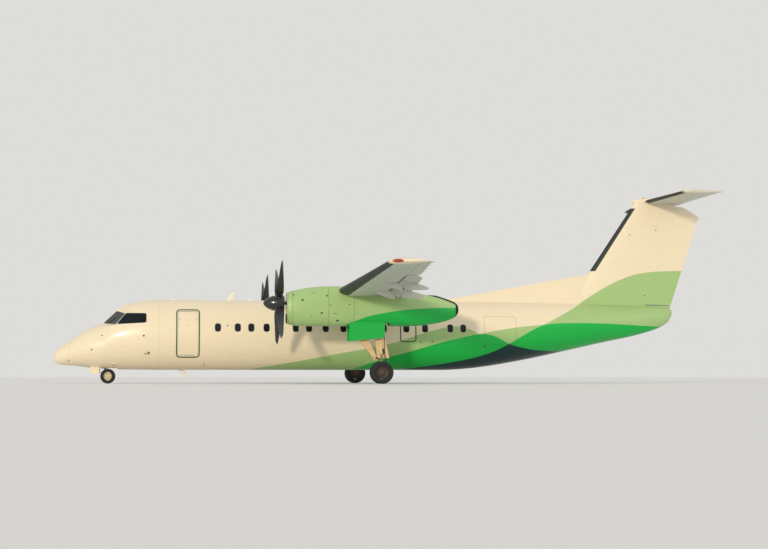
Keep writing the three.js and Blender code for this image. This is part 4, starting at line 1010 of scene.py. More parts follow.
# Tank hatches under the outer wing stand every 790 mm, on a line that runs aft with the span
HATCH_LINE = {"x": 10960, "sweep": 0.052, "spans": np.arange(5400, 12900, 790)}
WICKS = {"aileron": (10800, 11700, 12600), "wing_tip": (13330, 13480), "elevator": (2300, 2950, 3600)}
TIP_LAMP = {"x": 11190, "y": 13692, "z": 1908, "half": 180, "radius": 58}
LANDING_LAMP = (4503, 4612)
# Spans of the boots on the outer and inner wing and the tailplane
BOOTS = {"outer": (4620, 13370), "inner": (1150, 3300), "tail": (330, 3640)}


def build_wing():
    """Centre panel, outer panels with their caps and lamps, boots, pods, flaps and ailerons."""
    parts, faces = foil_loop(34)
    spans = np.linspace(-WING_JOINT, WING_JOINT, 30)
    rows = np.array([foil_points(WING, [abs(y)], math.copysign(1, y), parts, faces, WING_CAMBER)[0]
                     for y in spans])
    make_piece("wing_centre_skin", [closed(rows)], [WING_PAINT], stands_for=["wing_center"],
               cuts=[bay_cut(WING, INNER_FLAP, side, FLAP_HINGE, FLAP_GAP)
                                        for _, side in SIDES])
    pods = [pod(y, side, FIXED_POD) for _, side in SIDES for y in INNER_TRACKS]
    for name, side in SIDES:
        y = np.concatenate([np.linspace(WING_JOINT + 0.3, WING_TIP, 46), rounded_tip(140, 0.2, 8)])
        make_piece(f"wing_skin_{name}", [closed(foil_points(WING, y, side, parts, faces, WING_CAMBER))],
                   [WING_PAINT], stands_for=[f"wing_{name}"],
                   cuts=[bay_cut(WING, OUTER_FLAP, side, FLAP_HINGE, FLAP_GAP),
                         bay_cut(WING, AILERON, side, AILERON_HINGE, SURFACE_GAP)])
        pods += [pod(y, side, FIXED_POD) for y in OUTER_TRACKS]
        y = np.concatenate([np.linspace(WING_TIP - 180, WING_TIP, 4), rounded_tip(155, 0.15, 8)])
        cap = foil_points(WING, y, side, parts, faces, WING_CAMBER, 3.0)
        cap[..., 0] -= np.where(parts < 0.02, 3, 0)
        make_piece(f"wing_tip_cap_{name}", [closed(cap)], [TIP_PAINT])
        boots = [boot_panel(WING, *BOOTS["outer"], side, WING_CAMBER, 0.15, 0.07),
                 boot_panel(WING, *BOOTS["inner"], side, WING_CAMBER, 0.11, 0.06, count=12)]
        make_piece(f"wing_boots_{name}", boots, [BOOT_RUBBER])
        along = np.linspace(-TIP_LAMP["half"], TIP_LAMP["half"], 29)
        bulb = np.column_stack([along, TIP_LAMP["radius"] * np.sqrt(
            np.clip(1 - (along / TIP_LAMP["half"]) ** 2, 1e-4, 1))])
        lamps = [boot_panel(WING, *LANDING_LAMP, side, WING_CAMBER, 0.055, 0.05, 6.0, 6),
                 turned(bulb, (TIP_LAMP["x"], side * TIP_LAMP["y"], TIP_LAMP["z"]), (1, 0, 0), 32, 1)]
        make_piece(f"wing_lamps_{name}", lamps, [AMBER_LENS, RED_LENS if side < 0 else GREEN_LENS])
        add_flap("flap_inner", INNER_FLAP, INNER_TRACKS, side, name)
        add_flap("flap_outer", OUTER_FLAP, OUTER_TRACKS, side, name)
        aileron = surface_panel(WING, AILERON, side, WING_CAMBER, AILERON_HINGE, 16)
        make_piece(f"aileron_skin_{name}", [aileron], [WING_PAINT], f"aileron_{name}", [f"aileron_{name}"])
        for part, body in (("aileron", f"aileron_{name}"), ("wing_tip", "airframe")):
            make_piece(f"{part}_wicks_{name}", [wick(WING, y, side) for y in WICKS[part]], [VENT_SHADE_AND_DARK_METAL], body)
        rings = [hatch_ring(HATCH_LINE["x"] + HATCH_LINE["sweep"] * y, y, 165, 235, side)
                 for y in HATCH_LINE["spans"]]
        rings += [hatch_ring(11080, y, 150, 200, side) for y in (2000, 2600)]
        make_piece(f"tank_hatch_lines_{name}", rings, [PANEL_SEALANT])
    make_piece("flap_track_pods", pods, [WING_PAINT])


build_wing()

FAIRING = np.array([[9250, 1330, 300], [9800, 1530, 720], [10350, 1700, 950], [11200, 1830, 1060],
                    [12300, 1770, 1060], [13300, 1560, 900], [14100, 1420, 560], [14500, 1335, 250]], float)


def build_fairing():
    """The hump over the wing: at each x half a flattened oval from the roof up to the table's top."""
    x = np.linspace(FAIRING[0, 0], FAIRING[-1, 0], 60)
    top, half = fair(FAIRING, x, 1), fair(FAIRING, x, 2)
    turn = np.linspace(0, np.pi, 40)
    floor = 700.0
    y = half[:, None] * np.cos(turn)
    z = floor + (top - floor)[:, None] * np.sin(turn) ** 0.6
    hump = closed(np.stack([np.broadcast_to(x[:, None], y.shape), y, z], -1))
    make_piece("wing_root_fairing", [hump], [AIRLINER_PAINT], stands_for=["wing_fairing"])


build_fairing()


# Nacelles and propellers

NACELLE = np.array([[8560, 1440, 330, 450], [8640, 1480, 285, 485], [9000, 1565, 240, 525],
                    [9500, 1650, 230, 540], [10100, 1690, 230, 540], [12400, 1680, 235, 540],
                    [13100, 1570, 245, 520], [13650, 1415, 285, 465], [14100, 1325, 355, 385],
                    [14500, 1200, 455, 290], [14800, 1080, 590, 190], [14920, 960, 740, 80]], float)
SQUARENESS = 0.82
FIREWALL_X = 11000.0
ENGINE_Y = 3940.0
HUB_HEIGHT = 1060.0
PROPELLER_X = 8300.0
INTAKE = {"front": 8400.0, "back": 9050.0, "half": 208.0, "height": 302.0, "corner": 145.0,
          "middle": 492.0}
LIP = {"x": 8562, "half": 214, "half_height": 156, "corner": 148, "radius": 19}
WELL = {"front": 10900.0, "back": 12330.0, "half": 340.0, "roof": 900.0}


def nacelle_points(x, turn, y, lift=0.0):
    """Egg-shaped rings: a sine and cosine raised to SQUARENESS make an ellipse squarer."""
    x, turn = np.broadcast_arrays(np.asarray(x, float), turn)
    top, bottom, half = [fair(NACELLE, x, column) for column in (1, 2, 3)]
    out, up = [np.sign(wave) * np.abs(wave) ** SQUARENESS for wave in (np.sin(turn), np.cos(turn))]
    return np.stack([x, y + (half + lift) * out, (top + bottom) / 2 + ((top - bottom) / 2 + lift) * up], -1)


def nacelle_flank(x, z, y, side, lift=0.0):
    """Points of a nacelle's side at a place on the side view: the ring's shape solved for its width."""
    x, z = np.broadcast_arrays(np.asarray(x, float), np.asarray(z, float))
    top, bottom, half = [fair(NACELLE, x, column) for column in (1, 2, 3)]
    up = np.clip(np.abs((z - (top + bottom) / 2) / ((top - bottom) / 2)), 0, 0.999) ** (1 / SQUARENESS)
    return np.stack([x, y + side * (half * np.sqrt(1 - up ** 2) ** SQUARENESS + lift), z], -1)


def bead(x, y, z, half_y, half_z, corner, radius):
    """A round bead along a rounded box that faces forward."""
    count = 60
    loop, out = rounded_box(half_y, half_z, corner, count)
    turn = full_turn(12)[None, :, None]
    way = np.column_stack([np.zeros(count), out])[:, None]
    centre = np.column_stack([np.full(count, x), loop + (y, z)])[:, None]
    grid = centre + radius * (np.cos(turn) * way + np.sin(turn) * np.array([1.0, 0.0, 0.0]))
    return panel(np.concatenate([grid, grid[:1]]))


# x, z, half length and half height of each vent on either flank
COWL_VENTS = ((8791, 1354, 34, 20), (9102, 1159, 48, 34), (9997, 1315, 44, 26), (9802, 692, 46, 28),
              (10308, 672, 60, 12), (10386, 419, 54, 30), (10814, 1004, 40, 16), (9500, 1420, 24, 16),
              (9420, 560, 22, 16), (10120, 980, 20, 20))
COWL_SEAMS = (8760, 10060, 10990)
# x and height over the skin of the sooted ring round the nacelle's end
TAIL_RING = np.array([[14795, -2], [14800, 3], [14850, 4], [14890, 4], [14916, 3], [14921, 0]], float)
DUCT = {"front": 13781, "back": 14915, "half": 129, "floor": 890, "climb": 260}


def build_nacelle_fittings(name, y):
    """Vents, latch lines, the intake's rubber lip and the sooted ring round the nacelle's tail."""
    turn = full_turn(96)[None]
    vents = []
    for face in (-1, 1):
        def skin(x, z, lift, face=face):
            return nacelle_flank(x, z, y, face, lift)
        vents += [spot(skin, *vent, 4) for vent in COWL_VENTS]
    # The vents are dark ovals: painted shade standing for their openings
    make_piece(f"cowl_vents_{name}", vents, [VENT_SHADE_AND_DARK_METAL])
    lip = bead(LIP["x"], y, INTAKE["middle"], LIP["half"], LIP["half_height"], LIP["corner"], LIP["radius"])
    make_piece(f"intake_lip_{name}", [lip], [BOOT_RUBBER])
    seams = [panel(nacelle_points(at, turn, y, lift)) for at, lift in map(line_rows, COWL_SEAMS)]
    make_piece(f"cowl_joints_{name}", seams, [VENT_SHADE_AND_DARK_METAL])
    ring = nacelle_points(TAIL_RING[:, :1], turn, y, TAIL_RING[:, 1:])
    make_piece(f"tail_ring_{name}", [closed(ring)], [SOOTED_STEEL_AND_INTAKE_SHADE])


def build_nacelles():
    """Cowlings with their intakes, nacelles with their wheel wells, exhaust ducts and the engines' paint."""
    turn = full_turn(96)[None]
    for name, side in SIDES:
        y = side * ENGINE_Y
        x = np.concatenate([[8560], around(8570, 8800, 24), around(8800, FIREWALL_X - 0.3, 60)[1:]])
        loop, _ = rounded_box(INTAKE["half"], INTAKE["height"] / 2, INTAKE["corner"], 48)
        mouth = np.array([np.insert(loop + (y, INTAKE["middle"]), 0, end, axis=1)
                          for end in (INTAKE["front"], INTAKE["back"])])
        room = brick(8740, 11200, y - 360, y + 360, 440, 1300)
        throat = turned([(0, 90), (400, 90)], (8500, y, HUB_HEIGHT), (1, 0, 0), 40)
        # The intake's and the shaft hole's walls are near black: painted shade inside them
        make_piece(f"cowling_{name}", [closed(nacelle_points(x[:, None], turn, y))], [AIRLINER_PAINT],
                   stands_for=[f"cowl_{name}"], stripes="nacelle",
                   cuts=[(closed(mouth), SOOTED_STEEL_AND_INTAKE_SHADE), (room, PRIMER), (throat, SOOTED_STEEL_AND_INTAKE_SHADE)])
        x = np.concatenate([around(FIREWALL_X, 12400, 80), around(12400, 14920, 40)[1:]])
        bay = brick(WELL["front"], WELL["back"], y - WELL["half"], y + WELL["half"], 100, WELL["roof"])
        vent = brick(13780, 15100, y - 130, y + 130, 880, 1500)
        # The trough for the duct is near black where it shows: soot and painted shade
        make_piece(f"nacelle_skin_{name}", [closed(nacelle_points(x[:, None], turn, y))], [AIRLINER_PAINT],
                   stands_for=[f"nacelle_{name}"], stripes="nacelle",
                   cuts=[(bay, PRIMER), (vent, SOOTED_STEEL_AND_INTAKE_SHADE)])
        x = around(DUCT["front"], DUCT["back"], 60)[:, None]
        lift = 6 + 38 * np.clip((x - DUCT["front"]) / DUCT["climb"], 0, 1)
        top = nacelle_points(x, np.linspace(-0.62, 0.62, 15)[None], y, lift)
        top[..., 1] = y + np.clip(top[..., 1] - y, -DUCT["half"], DUCT["half"])
        low = top.copy()
        low[..., 2] = DUCT["floor"]
        # The outlet cut into the duct is near black: soot, and painted shade inside it
        make_piece(f"exhaust_duct_{name}", [closed(np.concatenate([top, low[:, ::-1]], axis=1))],
                   [SOOTED_STEEL_AND_INTAKE_SHADE], stands_for=[f"exhaust_{name}"],
                   cuts=[(brick(14250, 15100, y - 95, y + 95, 930, 1120), SOOTED_STEEL_AND_INTAKE_SHADE)])
        build_nacelle_fittings(name, y)
        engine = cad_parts[f"engine_{name}"].data
        engine.materials.clear()
        engine.materials.append(ENGINE_GREY)


build_nacelles()

# Blade rows: radius, chord, angle from the disc, thickness
BLADE = np.array([[230, 150, 72, 100], [300, 170, 70, 92], [420, 300, 64, 62], [640, 345, 56, 48],
                  [900, 335, 48, 38], [1200, 305, 41, 29], [1500, 265, 34, 22], [1750, 215, 30, 14],
                  [1900, 160, 27, 9], [1960, 105, 25.5, 6], [1980, 40, 25, 4]], float)
BLADE_TURN = 42.0
HUB_X = 8170
# Distance along the axis and radius of the hub, a blade's cuff and, from its tip, the spinner
HUB = [(0, 0.5), (0, 286), (8, 293), (20, 295), (290, 290), (300, 286), (308, 270), (310, 0.5)]
CUFF = [(262, 60), (262, 92), (300, 92), (306, 86), (306, 60)]
SPINNER = np.array([[0, 0], [7, 38], [40, 95], [120, 168], [250, 236], [380, 275], [449, 288]], float)


def blade_panels(spin, y):
    """One blade: thin lens-shaped sections up the radius, each turned to its own angle."""
    radius = np.concatenate([np.linspace(230, 1860, 40), np.linspace(1880, 1980, 12)])
    chord, angle, thick = [fair(BLADE, radius, column) for column in (1, 2, 3)]
    round_ = full_turn(24)
    along = chord[:, None] / 2 * np.cos(round_)
    across = thick[:, None] / 2 * np.sin(round_) * (1 - 0.25 * np.cos(round_))
    pitch = np.radians(angle)[:, None]
    x = along * np.sin(pitch) + across * np.cos(pitch)
    flat = along * np.cos(pitch) - across * np.sin(pitch)
    up = np.broadcast_to(radius[:, None], x.shape)
    grid = np.stack([PROPELLER_X + x, y + flat * math.cos(spin) - up * math.sin(spin),
                     HUB_HEIGHT + flat * math.sin(spin) + up * math.cos(spin)], -1)
    tip = 41
    return [closed(grid[:tip + 1]), closed(grid[tip:], 1)]


def build_propellers():
    """Hubs with their four blades and cuffs, and the spinners."""
    for name, side in SIDES:
        y = side * ENGINE_Y
        blades, cuffs = [], []
        for quarter in range(4):
            spin = math.radians(BLADE_TURN + 90 * quarter)
            blades += blade_panels(spin, y)
            cuffs.append(turned(CUFF, (PROPELLER_X, y, HUB_HEIGHT), (0, -math.sin(spin), math.cos(spin)),
                                32, finish=2))
        hub = turned(HUB, (HUB_X, y, HUB_HEIGHT), (1, 0, 0), 64, finish=2)
        make_piece(f"propeller_blades_{name}", [hub] + blades + cuffs, [BLADE_COAT, BLADE_TIP, SPINNER_PAINT],
                   f"propeller_{name}", [f"propeller_{name}"])
        s = np.linspace(0, np.sqrt(SPINNER[-1, 0]), 34) ** 2
        radius = fair(np.column_stack([np.sqrt(SPINNER[:, 0]), SPINNER[:, 1]]), np.sqrt(s))
        profile = np.vstack([np.column_stack([s, np.maximum(radius, 0.3)]), [449.5, 0.3]])
        make_piece(f"spinner_shell_{name}", [turned(profile, (HUB_X - 450, y, HUB_HEIGHT), (1, 0, 0), 64)],
                   [SPINNER_PAINT], f"propeller_{name}", [f"spinner_{name}"])


build_propellers()


# Tail

# z, leading and trailing edge x, half width
FIN = np.array([[1000, 19980, 24340, 235], [2500, 20995, 24850, 205], [5330, 22915, 25813, 150]], float)
RUDDER = {"foot": 1290.0, "hinge_foot": 23370.0, "hinge_head": 24735.0, "head": 5290.0, "tab": 460.0,
          "top": 5270.0}
# A point and the slope of the line that the heads of the rudder and its tab follow; the tab's levels
# run to its top and are drawn down to that line above its bend
HEAD = {"x": 24985, "z": 5247, "slope": 0.5}
TAB = {"top": 5130, "bend": 4500.0}
ELEVATOR = (170, 3820)


def fin_sizes(z):
    """Leading edge, trailing edge and half width on level z."""
    return [np.interp(z, FIN[:, 0], FIN[:, column]) for column in (1, 2, 3)]


def fin_swell(half, part):
    """A symmetrical section's half width at a part of the chord, scaled to the table's half width."""
    return half * half_thickness(part, 0.12) / half_thickness(0.3, 0.12)


def fin_half(x, z):
    """The fin's half width at x on level z."""
    lead, trail, half = fin_sizes(z)
    return fin_swell(half, np.clip((x - lead) / (trail - lead), 0, 1))


def hinge_x(z):
    """x of the rudder's hinge line on level z."""
    share = (z - RUDDER["foot"]) / (RUDDER["head"] - RUDDER["foot"])
    return RUDDER["hinge_foot"] + share * (RUDDER["hinge_head"] - RUDDER["hinge_foot"])


RUDDER_NOSE = float(fin_half(RUDDER["hinge_foot"], RUDDER["foot"]))


def slot_front(z):
    """x of the fin's end, just ahead of the rudder's round nose."""
    return hinge_x(z) - RUDDER_NOSE - SURFACE_GAP


def fin_skin(levels):
    """The fin's section on each level."""
    parts, faces = foil_loop(34)
    z = levels[:, None]
    lead, trail, half = fin_sizes(z)
    x = lead + parts * (trail - lead)
    return np.stack([x, faces * fin_swell(half, parts), np.broadcast_to(z, x.shape)], -1)


def leaf_grid(levels, hinge_at, end_at):
    """A rudder leaf: its two sides follow the fin's width from the end forward to the hinge, and its nose
    is half a circle about the hinge line."""
    rings = []
    for z in levels:
        hinge, end = hinge_at(z), end_at(z)
        side_x = np.linspace(end, hinge, 8, endpoint=False)
        side_y = np.maximum(3, fin_half(side_x, z))
        radius = fin_half(hinge, z)
        angle = np.pi / 2 + np.linspace(0, 1, 15) * np.pi
        x = np.concatenate([side_x, hinge + radius * np.cos(angle), side_x[::-1]])
        y = np.concatenate([side_y, radius * np.sin(angle), -side_y[::-1]])
        rings.append(np.column_stack([x, y, np.full(len(x), z)]))
    return np.array(rings)


def tail_edge(z):
    """x of the fin's trailing edge on level z."""
    return float(np.interp(z, FIN[:, 0], FIN[:, 2]))


def tab_hinge(z):
    """x of the tab's hinge line on level z."""
    return tail_edge(z) - RUDDER["tab"]


def head_line(x):
    """Height of the sloping top of the rudder and its tab."""
    return HEAD["z"] - HEAD["slope"] * (x - HEAD["x"])


def leaf_end(z):
    """x of the front leaf's end, just ahead of the tab's round nose."""
    return tab_hinge(z) - float(fin_half(tab_hinge(z), z)) - 14


# x, top, half width at the top and at the foot
DORSAL = np.array([[14650, 1335, 20, 60], [17000, 1760, 45, 330], [20400, 2385, 84, 400],
                   [21700, 2560, 110, 130]], float)
# x, half width and rise of the bullet on the fin's head; z of its middle
BULLET = np.array([[22860, 20, 30], [22960, 75, 90], [23250, 130, 150], [23700, 150, 172],
                   [24200, 130, 160]], float)
BULLET_Z = 5448
BEACON = (23350, 0, 5588, 62, 34, 46)
FIN_PORTS = ((23300, 1650, 26, 26, 4), (23800, 4300, 26, 26, 4), (22700, 4100, 40, 14, 3))


def slot_lips(levels, hinge_at, front_at):
    """Thin lips on both sides that close the slot ahead of a leaf's round nose. They stop a fifth of its
    radius short of the hinge line, where the turned leaf swells."""
    z = np.asarray(levels, float)
    hinge = np.array([hinge_at(value) for value in z])
    start = np.array([front_at(value) for value in z]) - 8
    end = hinge - 0.2 * fin_half(hinge, z)
    x = start[:, None] + (end - start)[:, None] * np.linspace(0, 1, 6)
    lips = []
    for side in (-1, 1):
        width = side * (fin_half(x, z[:, None]) + 0.5)
        outer = np.stack([x, width, np.broadcast_to(z[:, None], x.shape)], -1)
        inner = outer - (0, side * 2.6, 0)
        lips.append(closed(np.concatenate([outer, inner[:, ::-1]], 1)))
    return lips


def build_fin():
    """Fin with its dorsal ridge, ports, beacon, boot and bullet."""
    rings = []
    for z in (RUDDER["foot"] - 14, 5480):
        front = slot_front(z)
        rings.append([(front, -400, z), (27000, -400, z), (27000, 400, z), (front, 400, z)])
    # The rudder's slot is cut with dark grey faces: painted shade in the slot
    make_piece("fin_skin", [closed(fin_skin(np.linspace(1000, 5400, 40)))], [AIRLINER_PAINT],
               stands_for=["fin"], cuts=[(slab(*rings), DARK_SEAL_AND_COVE_SHADE)], stripes="hull")
    x = np.concatenate([around(14650, 20950, 120), around(20950, 21700, 80)[1:]])
    top, half, foot = [fair(DORSAL, x, column)[:, None] for column in (1, 2, 3)]
    share = np.linspace(0, 1, 14)
    low = hull_sizes(x)[0][:, None] - 150
    across = half + (foot - half) * (1 - share) ** 3
    across = across * np.where(share > 0.93, np.sqrt(np.clip(1 - ((share - 0.93) / 0.07) ** 2, 0.02, 1)), 1)
    rise = low + (top - low) * share
    left = np.stack([np.broadcast_to(x[:, None], rise.shape), -across, rise], -1)
    right = left * (1, -1, 1)
    make_piece("dorsal_ridge", [closed(np.concatenate([left, right[:, ::-1]], 1))], [AIRLINER_PAINT],
               stripes="hull")
    ports = []
    for _, side in SIDES:
        def skin(x, z, lift, side=side):
            return np.stack([x, side * (fin_half(x, z) + lift), z], -1)
        ports += [spot(skin, *port) for port in FIN_PORTS]
    # The fin's ports are dark ovals: painted shade standing for their openings
    make_piece("fin_ports", ports, [VENT_SHADE_AND_DARK_METAL])
    make_piece("fin_beacon", [dome(*BEACON)], [RED_LENS])
    edge = np.concatenate([np.linspace(1, 0, 10)[:-1], -np.linspace(0, 1, 10)])
    part = np.abs(edge) ** 1.6 * 0.055
    z = np.linspace(2620, 5180, 24)[:, None]
    lead, trail, half = fin_sizes(z)
    lift = np.where(np.abs(edge) > 0.98, -2, 4)
    outer = np.stack([lead + part * (trail - lead) - 5 * (1 - np.abs(edge)),
                      np.sign(edge) * (fin_swell(half, part) + lift),
                      np.broadcast_to(z, (len(z), len(edge)))], -1)
    inner = outer + (9, 0, 0)
    inner[..., 1] *= 0.6
    make_piece("fin_boot", [closed(np.concatenate([outer, inner[:, ::-1]], 1))], [BOOT_RUBBER])
    x = np.concatenate([22860 + 390 * np.linspace(0, 1, 16) ** 2, around(23250, 24200, 60)[1:]])
    start = BULLET[0, 0] - 1
    table = np.column_stack([np.sqrt(BULLET[:, 0] - start), BULLET[:, 1:]])
    half, rise = [fair(table, np.sqrt(x - start), column)[:, None] for column in (1, 2)]
    turn = full_turn(40)
    up = np.where(np.cos(turn) > 0, rise, 118 * (half / 150)) * np.cos(turn)
    grid = np.stack([np.broadcast_to(x[:, None], up.shape), half * np.sin(turn), BULLET_Z + up], -1)
    make_piece("fin_bullet_shell", [closed(grid)], [AIRLINER_PAINT], stands_for=["fin_bullet"])


def build_rudder():
    """Both rudder leaves, the lips of their slots and the seal under the rudder's foot."""
    leaf = leaf_grid(np.linspace(RUDDER["foot"], RUDDER["top"], 26), hinge_x, leaf_end)
    outline = [(24790, 5272), (HEAD["x"], HEAD["z"]), (26200, head_line(26200)), (26200, 5900), (24790, 5900)]
    make_piece("rudder_skin", [closed(leaf)], [AIRLINER_PAINT], "rudder", ["rudder"],
               cuts=[(plank(outline, -400, 400), AIRLINER_PAINT)], stripes="hull")
    levels = np.linspace(RUDDER["foot"], TAB["top"], 26)
    tab = leaf_grid(levels, tab_hinge, tail_edge)
    rake = (tail_edge(5330) - tail_edge(2500)) / 2830
    share = np.clip((levels[:, None] - TAB["bend"]) / (levels[-1] - TAB["bend"]), 0, 1)
    drop = share * (levels[-1] - head_line(tab[-1, :, 0]))
    tab[..., 2] -= drop
    tab[..., 0] -= drop * rake
    make_piece("rudder_tab_skin", [closed(tab)], [AIRLINER_PAINT], "rudder_tab", ["rudder_tab"],
               stripes="hull")
    lips = slot_lips(np.linspace(RUDDER["foot"] - 6, 5262, 30), hinge_x, slot_front)
    make_piece("rudder_slot_lips", lips, [AIRLINER_PAINT], stripes="hull")
    lips = slot_lips(np.linspace(RUDDER["foot"] + 2, 5112, 30), tab_hinge, leaf_end)
    make_piece("tab_slot_lips", lips, [AIRLINER_PAINT], "rudder", stripes="hull")
    seal = leaf_grid([RUDDER["foot"] - 36, RUDDER["foot"] - 14.5], hinge_x, lambda z: tail_edge(z) - 60)
    make_piece("rudder_foot_seal", [closed(seal * (1, 1.03, 1))], [BOOT_RUBBER])


def build_tailplane():
    """Tailplane with its tips and boots, and the elevators with their wicks."""
    parts, faces = foil_loop(30)
    inner, tip, end = 3700, 3860, 3960
    spans = np.concatenate([np.linspace(-end, -tip, 6), np.linspace(-inner, inner, 30),
                            np.linspace(tip, end, 6)])
    rows = np.array([foil_points(TAIL, [abs(y)], math.copysign(1, y), parts, faces, 0.0)[0] for y in spans])
    make_piece("tailplane_skin", [closed(rows)], [WING_PAINT], stands_for=["tailplane"],
               cuts=[bay_cut(TAIL, ELEVATOR, side, ELEVATOR_HINGE, SURFACE_GAP) for _, side in SIDES])
    boots, tips = [], []
    for name, side in SIDES:
        make_piece(f"elevator_skin_{name}", [surface_panel(TAIL, ELEVATOR, side, 0.0, ELEVATOR_HINGE, 14)],
                   [WING_PAINT], f"elevator_{name}", [f"elevator_{name}"])
        make_piece(f"elevator_wicks_{name}", [wick(TAIL, y, side) for y in WICKS["elevator"]], [VENT_SHADE_AND_DARK_METAL],
                   f"elevator_{name}")
        boots.append(boot_panel(TAIL, *BOOTS["tail"], side, 0.0, 0.09, 0.09, count=16))
        y = np.concatenate([[tip - 26, tip], tip + 98 * np.sin(np.linspace(0.15, 1, 7) * np.pi / 2)])
        tips.append(closed(foil_points(TAIL, y, side, parts, faces, 0.0, 2.5)))
    make_piece("tailplane_boots", boots, [BOOT_RUBBER])
    make_piece("tailplane_tips", tips, [TIP_PAINT])


build_fin()
build_rudder()
build_tailplane()


# Doors and gear

TREAD_LEVELS = (-560, -270, 20, 310, 600)
DOOR_HINGES = (4790, 5250)


def build_airstair():
    """The airstair door: a curved leaf with its treads and handrails on the inside."""
    front, back, sill, head = [DOORWAY[key] for key in ("front", "back", "sill", "head")]
    rows = [(part, 0.0, 0.0) for part in np.linspace(0.02, 0.96, 12)]
    rows += [(1, -3, 0), (1, 0, -4), (1, 0, -66), (1, -4, -70)]
    rows += [(part, 0.0, -70.0) for part in np.linspace(0.96, 0.02, 10)]
    panels = [skin_plate(DOOR_X, (sill + 10 + head - 12) / 2, (back - front) / 2 - 8, (head - sill - 22) / 2,
                         -1, rows, 34, 120)]
    for z in TREAD_LEVELS:
        skin_y = math.sqrt((CABIN_RADIUS - 70) ** 2 - z ** 2)
        panels.append(soft_brick(front + 90, back - 90, -skin_y - 14, -skin_y + 130, z - 15, z + 15, 6,
                                 finish=1))
    for x in (front + 62, back - 62):
        rail = [(x, -1085, -640), (x, -960, -600), (x, -905, -540), (x, -890, 0), (x, -905, 500),
                (x, -950, 570), (x, -1120, 590)]
        panels += [tube(rail, 13, 14, 2),
                   tube([(x, -1275, -30), (x, -1080, -30), (x, -892, -30)], 10, 12, 2),
                   tube([(x, -1275, 590), (x, -1195, 590), (x, -1115, 590)], 12, 12, 2),
                   tube([(x, -1160, -655), (x, -1120, -650), (x, -1080, -640)], 12, 12, 2)]
    for x in DOOR_HINGES:
        panels += [tube([(x + 81, -1100, -825), (x + 115, -1100, -825), (x + 150, -1100, -825)], 12, 16),
                   brick(x + 81, x + 150, -1112, -1080, -833, -775)]
    handle = [(DOOR_X + along, y, 330) for along, y in ((-60, -1318), (-50, -1330), (50, -1330), (60, -1318))]
    panels.append(tube(handle, 7, 10))
    make_piece("airstair_leaf", panels, [AIRLINER_PAINT, FLOOR_MAT, BARE_STEEL], "airstair_door",
               ["airstair_door"])


build_airstair()

MAIN_TYRE = {"radius": 410.0, "width": 240.0, "offset": 215.0, "rim": 235.0}
NOSE_TYRE = {"radius": 280.0, "width": 165.0, "offset": 140.0, "rim": 150.0}
MAIN_X = 12060.0
NOSE_X = 2050.0
MAIN_Z = MAIN_TYRE["radius"] - CABIN_HEIGHT
NOSE_Z = NOSE_TYRE["radius"] - CABIN_HEIGHT


def tyre_profile(tyre):
    """A tyre's outline as (across, radius): a round shoulder by a superellipse, with four grooves."""
    half, rim, radius = tyre["width"] / 2, tyre["rim"], tyre["radius"]
    middle = (rim + radius) / 2
    turn = np.linspace(np.pi * 1.27, -np.pi * 0.27, 61)
    c, s = np.cos(turn), np.sin(turn)
    across = half * np.sign(c) * np.abs(c) ** 0.72
    height = middle + (radius - middle) * np.sign(s) * np.abs(s) ** 0.62
    groove = np.zeros_like(across)
    for place in (-0.45, -0.15, 0.15, 0.45):
        groove += np.where((np.abs(across / half - place) < 0.035) & (s > 0.5), 9.0, 0.0)
    height = np.maximum(height - groove, rim)
    return np.column_stack([across, height])


def wheel_panels(tyre, x, z, y, axle, outward, bolts):
    """A rim seen from outside: flange, dished web, hub cap, and bolt heads in the second finish."""
    rim = tyre["rim"] - 0.5
    edge = tyre["width"] * 0.35
    profile = [(-edge, axle * 1.3), (-edge, rim), (-edge + 10, rim), (-edge + 20, rim - 14),
               (edge - 22, rim - 16), (edge - 10, rim), (edge, rim), (edge, rim - 12),
               (edge - 16, rim - 24), (edge - 40, rim * 0.8), (edge - 46, rim * 0.62),
               (edge - 22, rim * 0.5), (edge - 10, axle * 1.9), (edge + 2, axle * 1.6),
               (edge + 8, axle * 1.2), (edge + 8, 0.5)]
    parts = [turned([(outward * across, radius) for across, radius in profile], (x, y, z), (0, 1, 0), 56)]
    for number in range(bolts):
        turn = 2 * math.pi * number / bolts
        centre = (x + rim * 0.72 * math.cos(turn), y + outward * (edge - 44), z + rim * 0.72 * math.sin(turn))
        parts.append(turned([(-4, 0.4), (-4, 13), (12, 13), (15, 10), (15, 0.4)], centre, (0, outward, 0), 6,
                            finish=1))
    return parts


# Rows of the main leg's brace and bracket: x, half length, half width and z
BRACE = ((11180, 95, 180, 899.5), (11420, 100, 150, 170), (11435, 165, 120, -300), (11860, 75, 45, -1000))
BRACKET = ((12010, 130, 60, 260), (12015, 195, 55, -300), (12125, 225, 40, -930))


def plate(rows, y, corner, finish=0):
    """A forged plate whose sections are rounded boxes, with the rows between filled in by straight
    lines. The rows are as the brace's, and run either way."""
    table = np.asarray(rows, float)[::-1] if rows[0][3] > rows[-1][3] else np.asarray(rows, float)
    levels = np.unique(np.concatenate([np.linspace(table[0, 3], table[-1, 3], 18), table[:, 3]]))
    grid = []
    for z in levels:
        x, deep, half = [np.interp(z, table[:, 3], table[:, column]) for column in range(3)]
        outline, _ = rounded_box(deep, half, corner, 40)
        grid.append(np.insert(outline + (x, y), 2, z, axis=1))
    return closed(np.array(grid), finish)


# x and z of a main gear door's outline, and of a nose gear door's
MAIN_DOOR = [(10830, 420), (10830, -290), (10845, -312), (10870, -316), (12095, -188), (12122, -176),
             (12130, -150), (12130, 420)]
NOSE_DOOR = [(1400, -1100), (1400, -1455), (1412, -1478), (1440, -1480), (1705, -1480), (1732, -1474),
             (1740, -1450), (1740, -1100)]
DOOR_HALF = 12
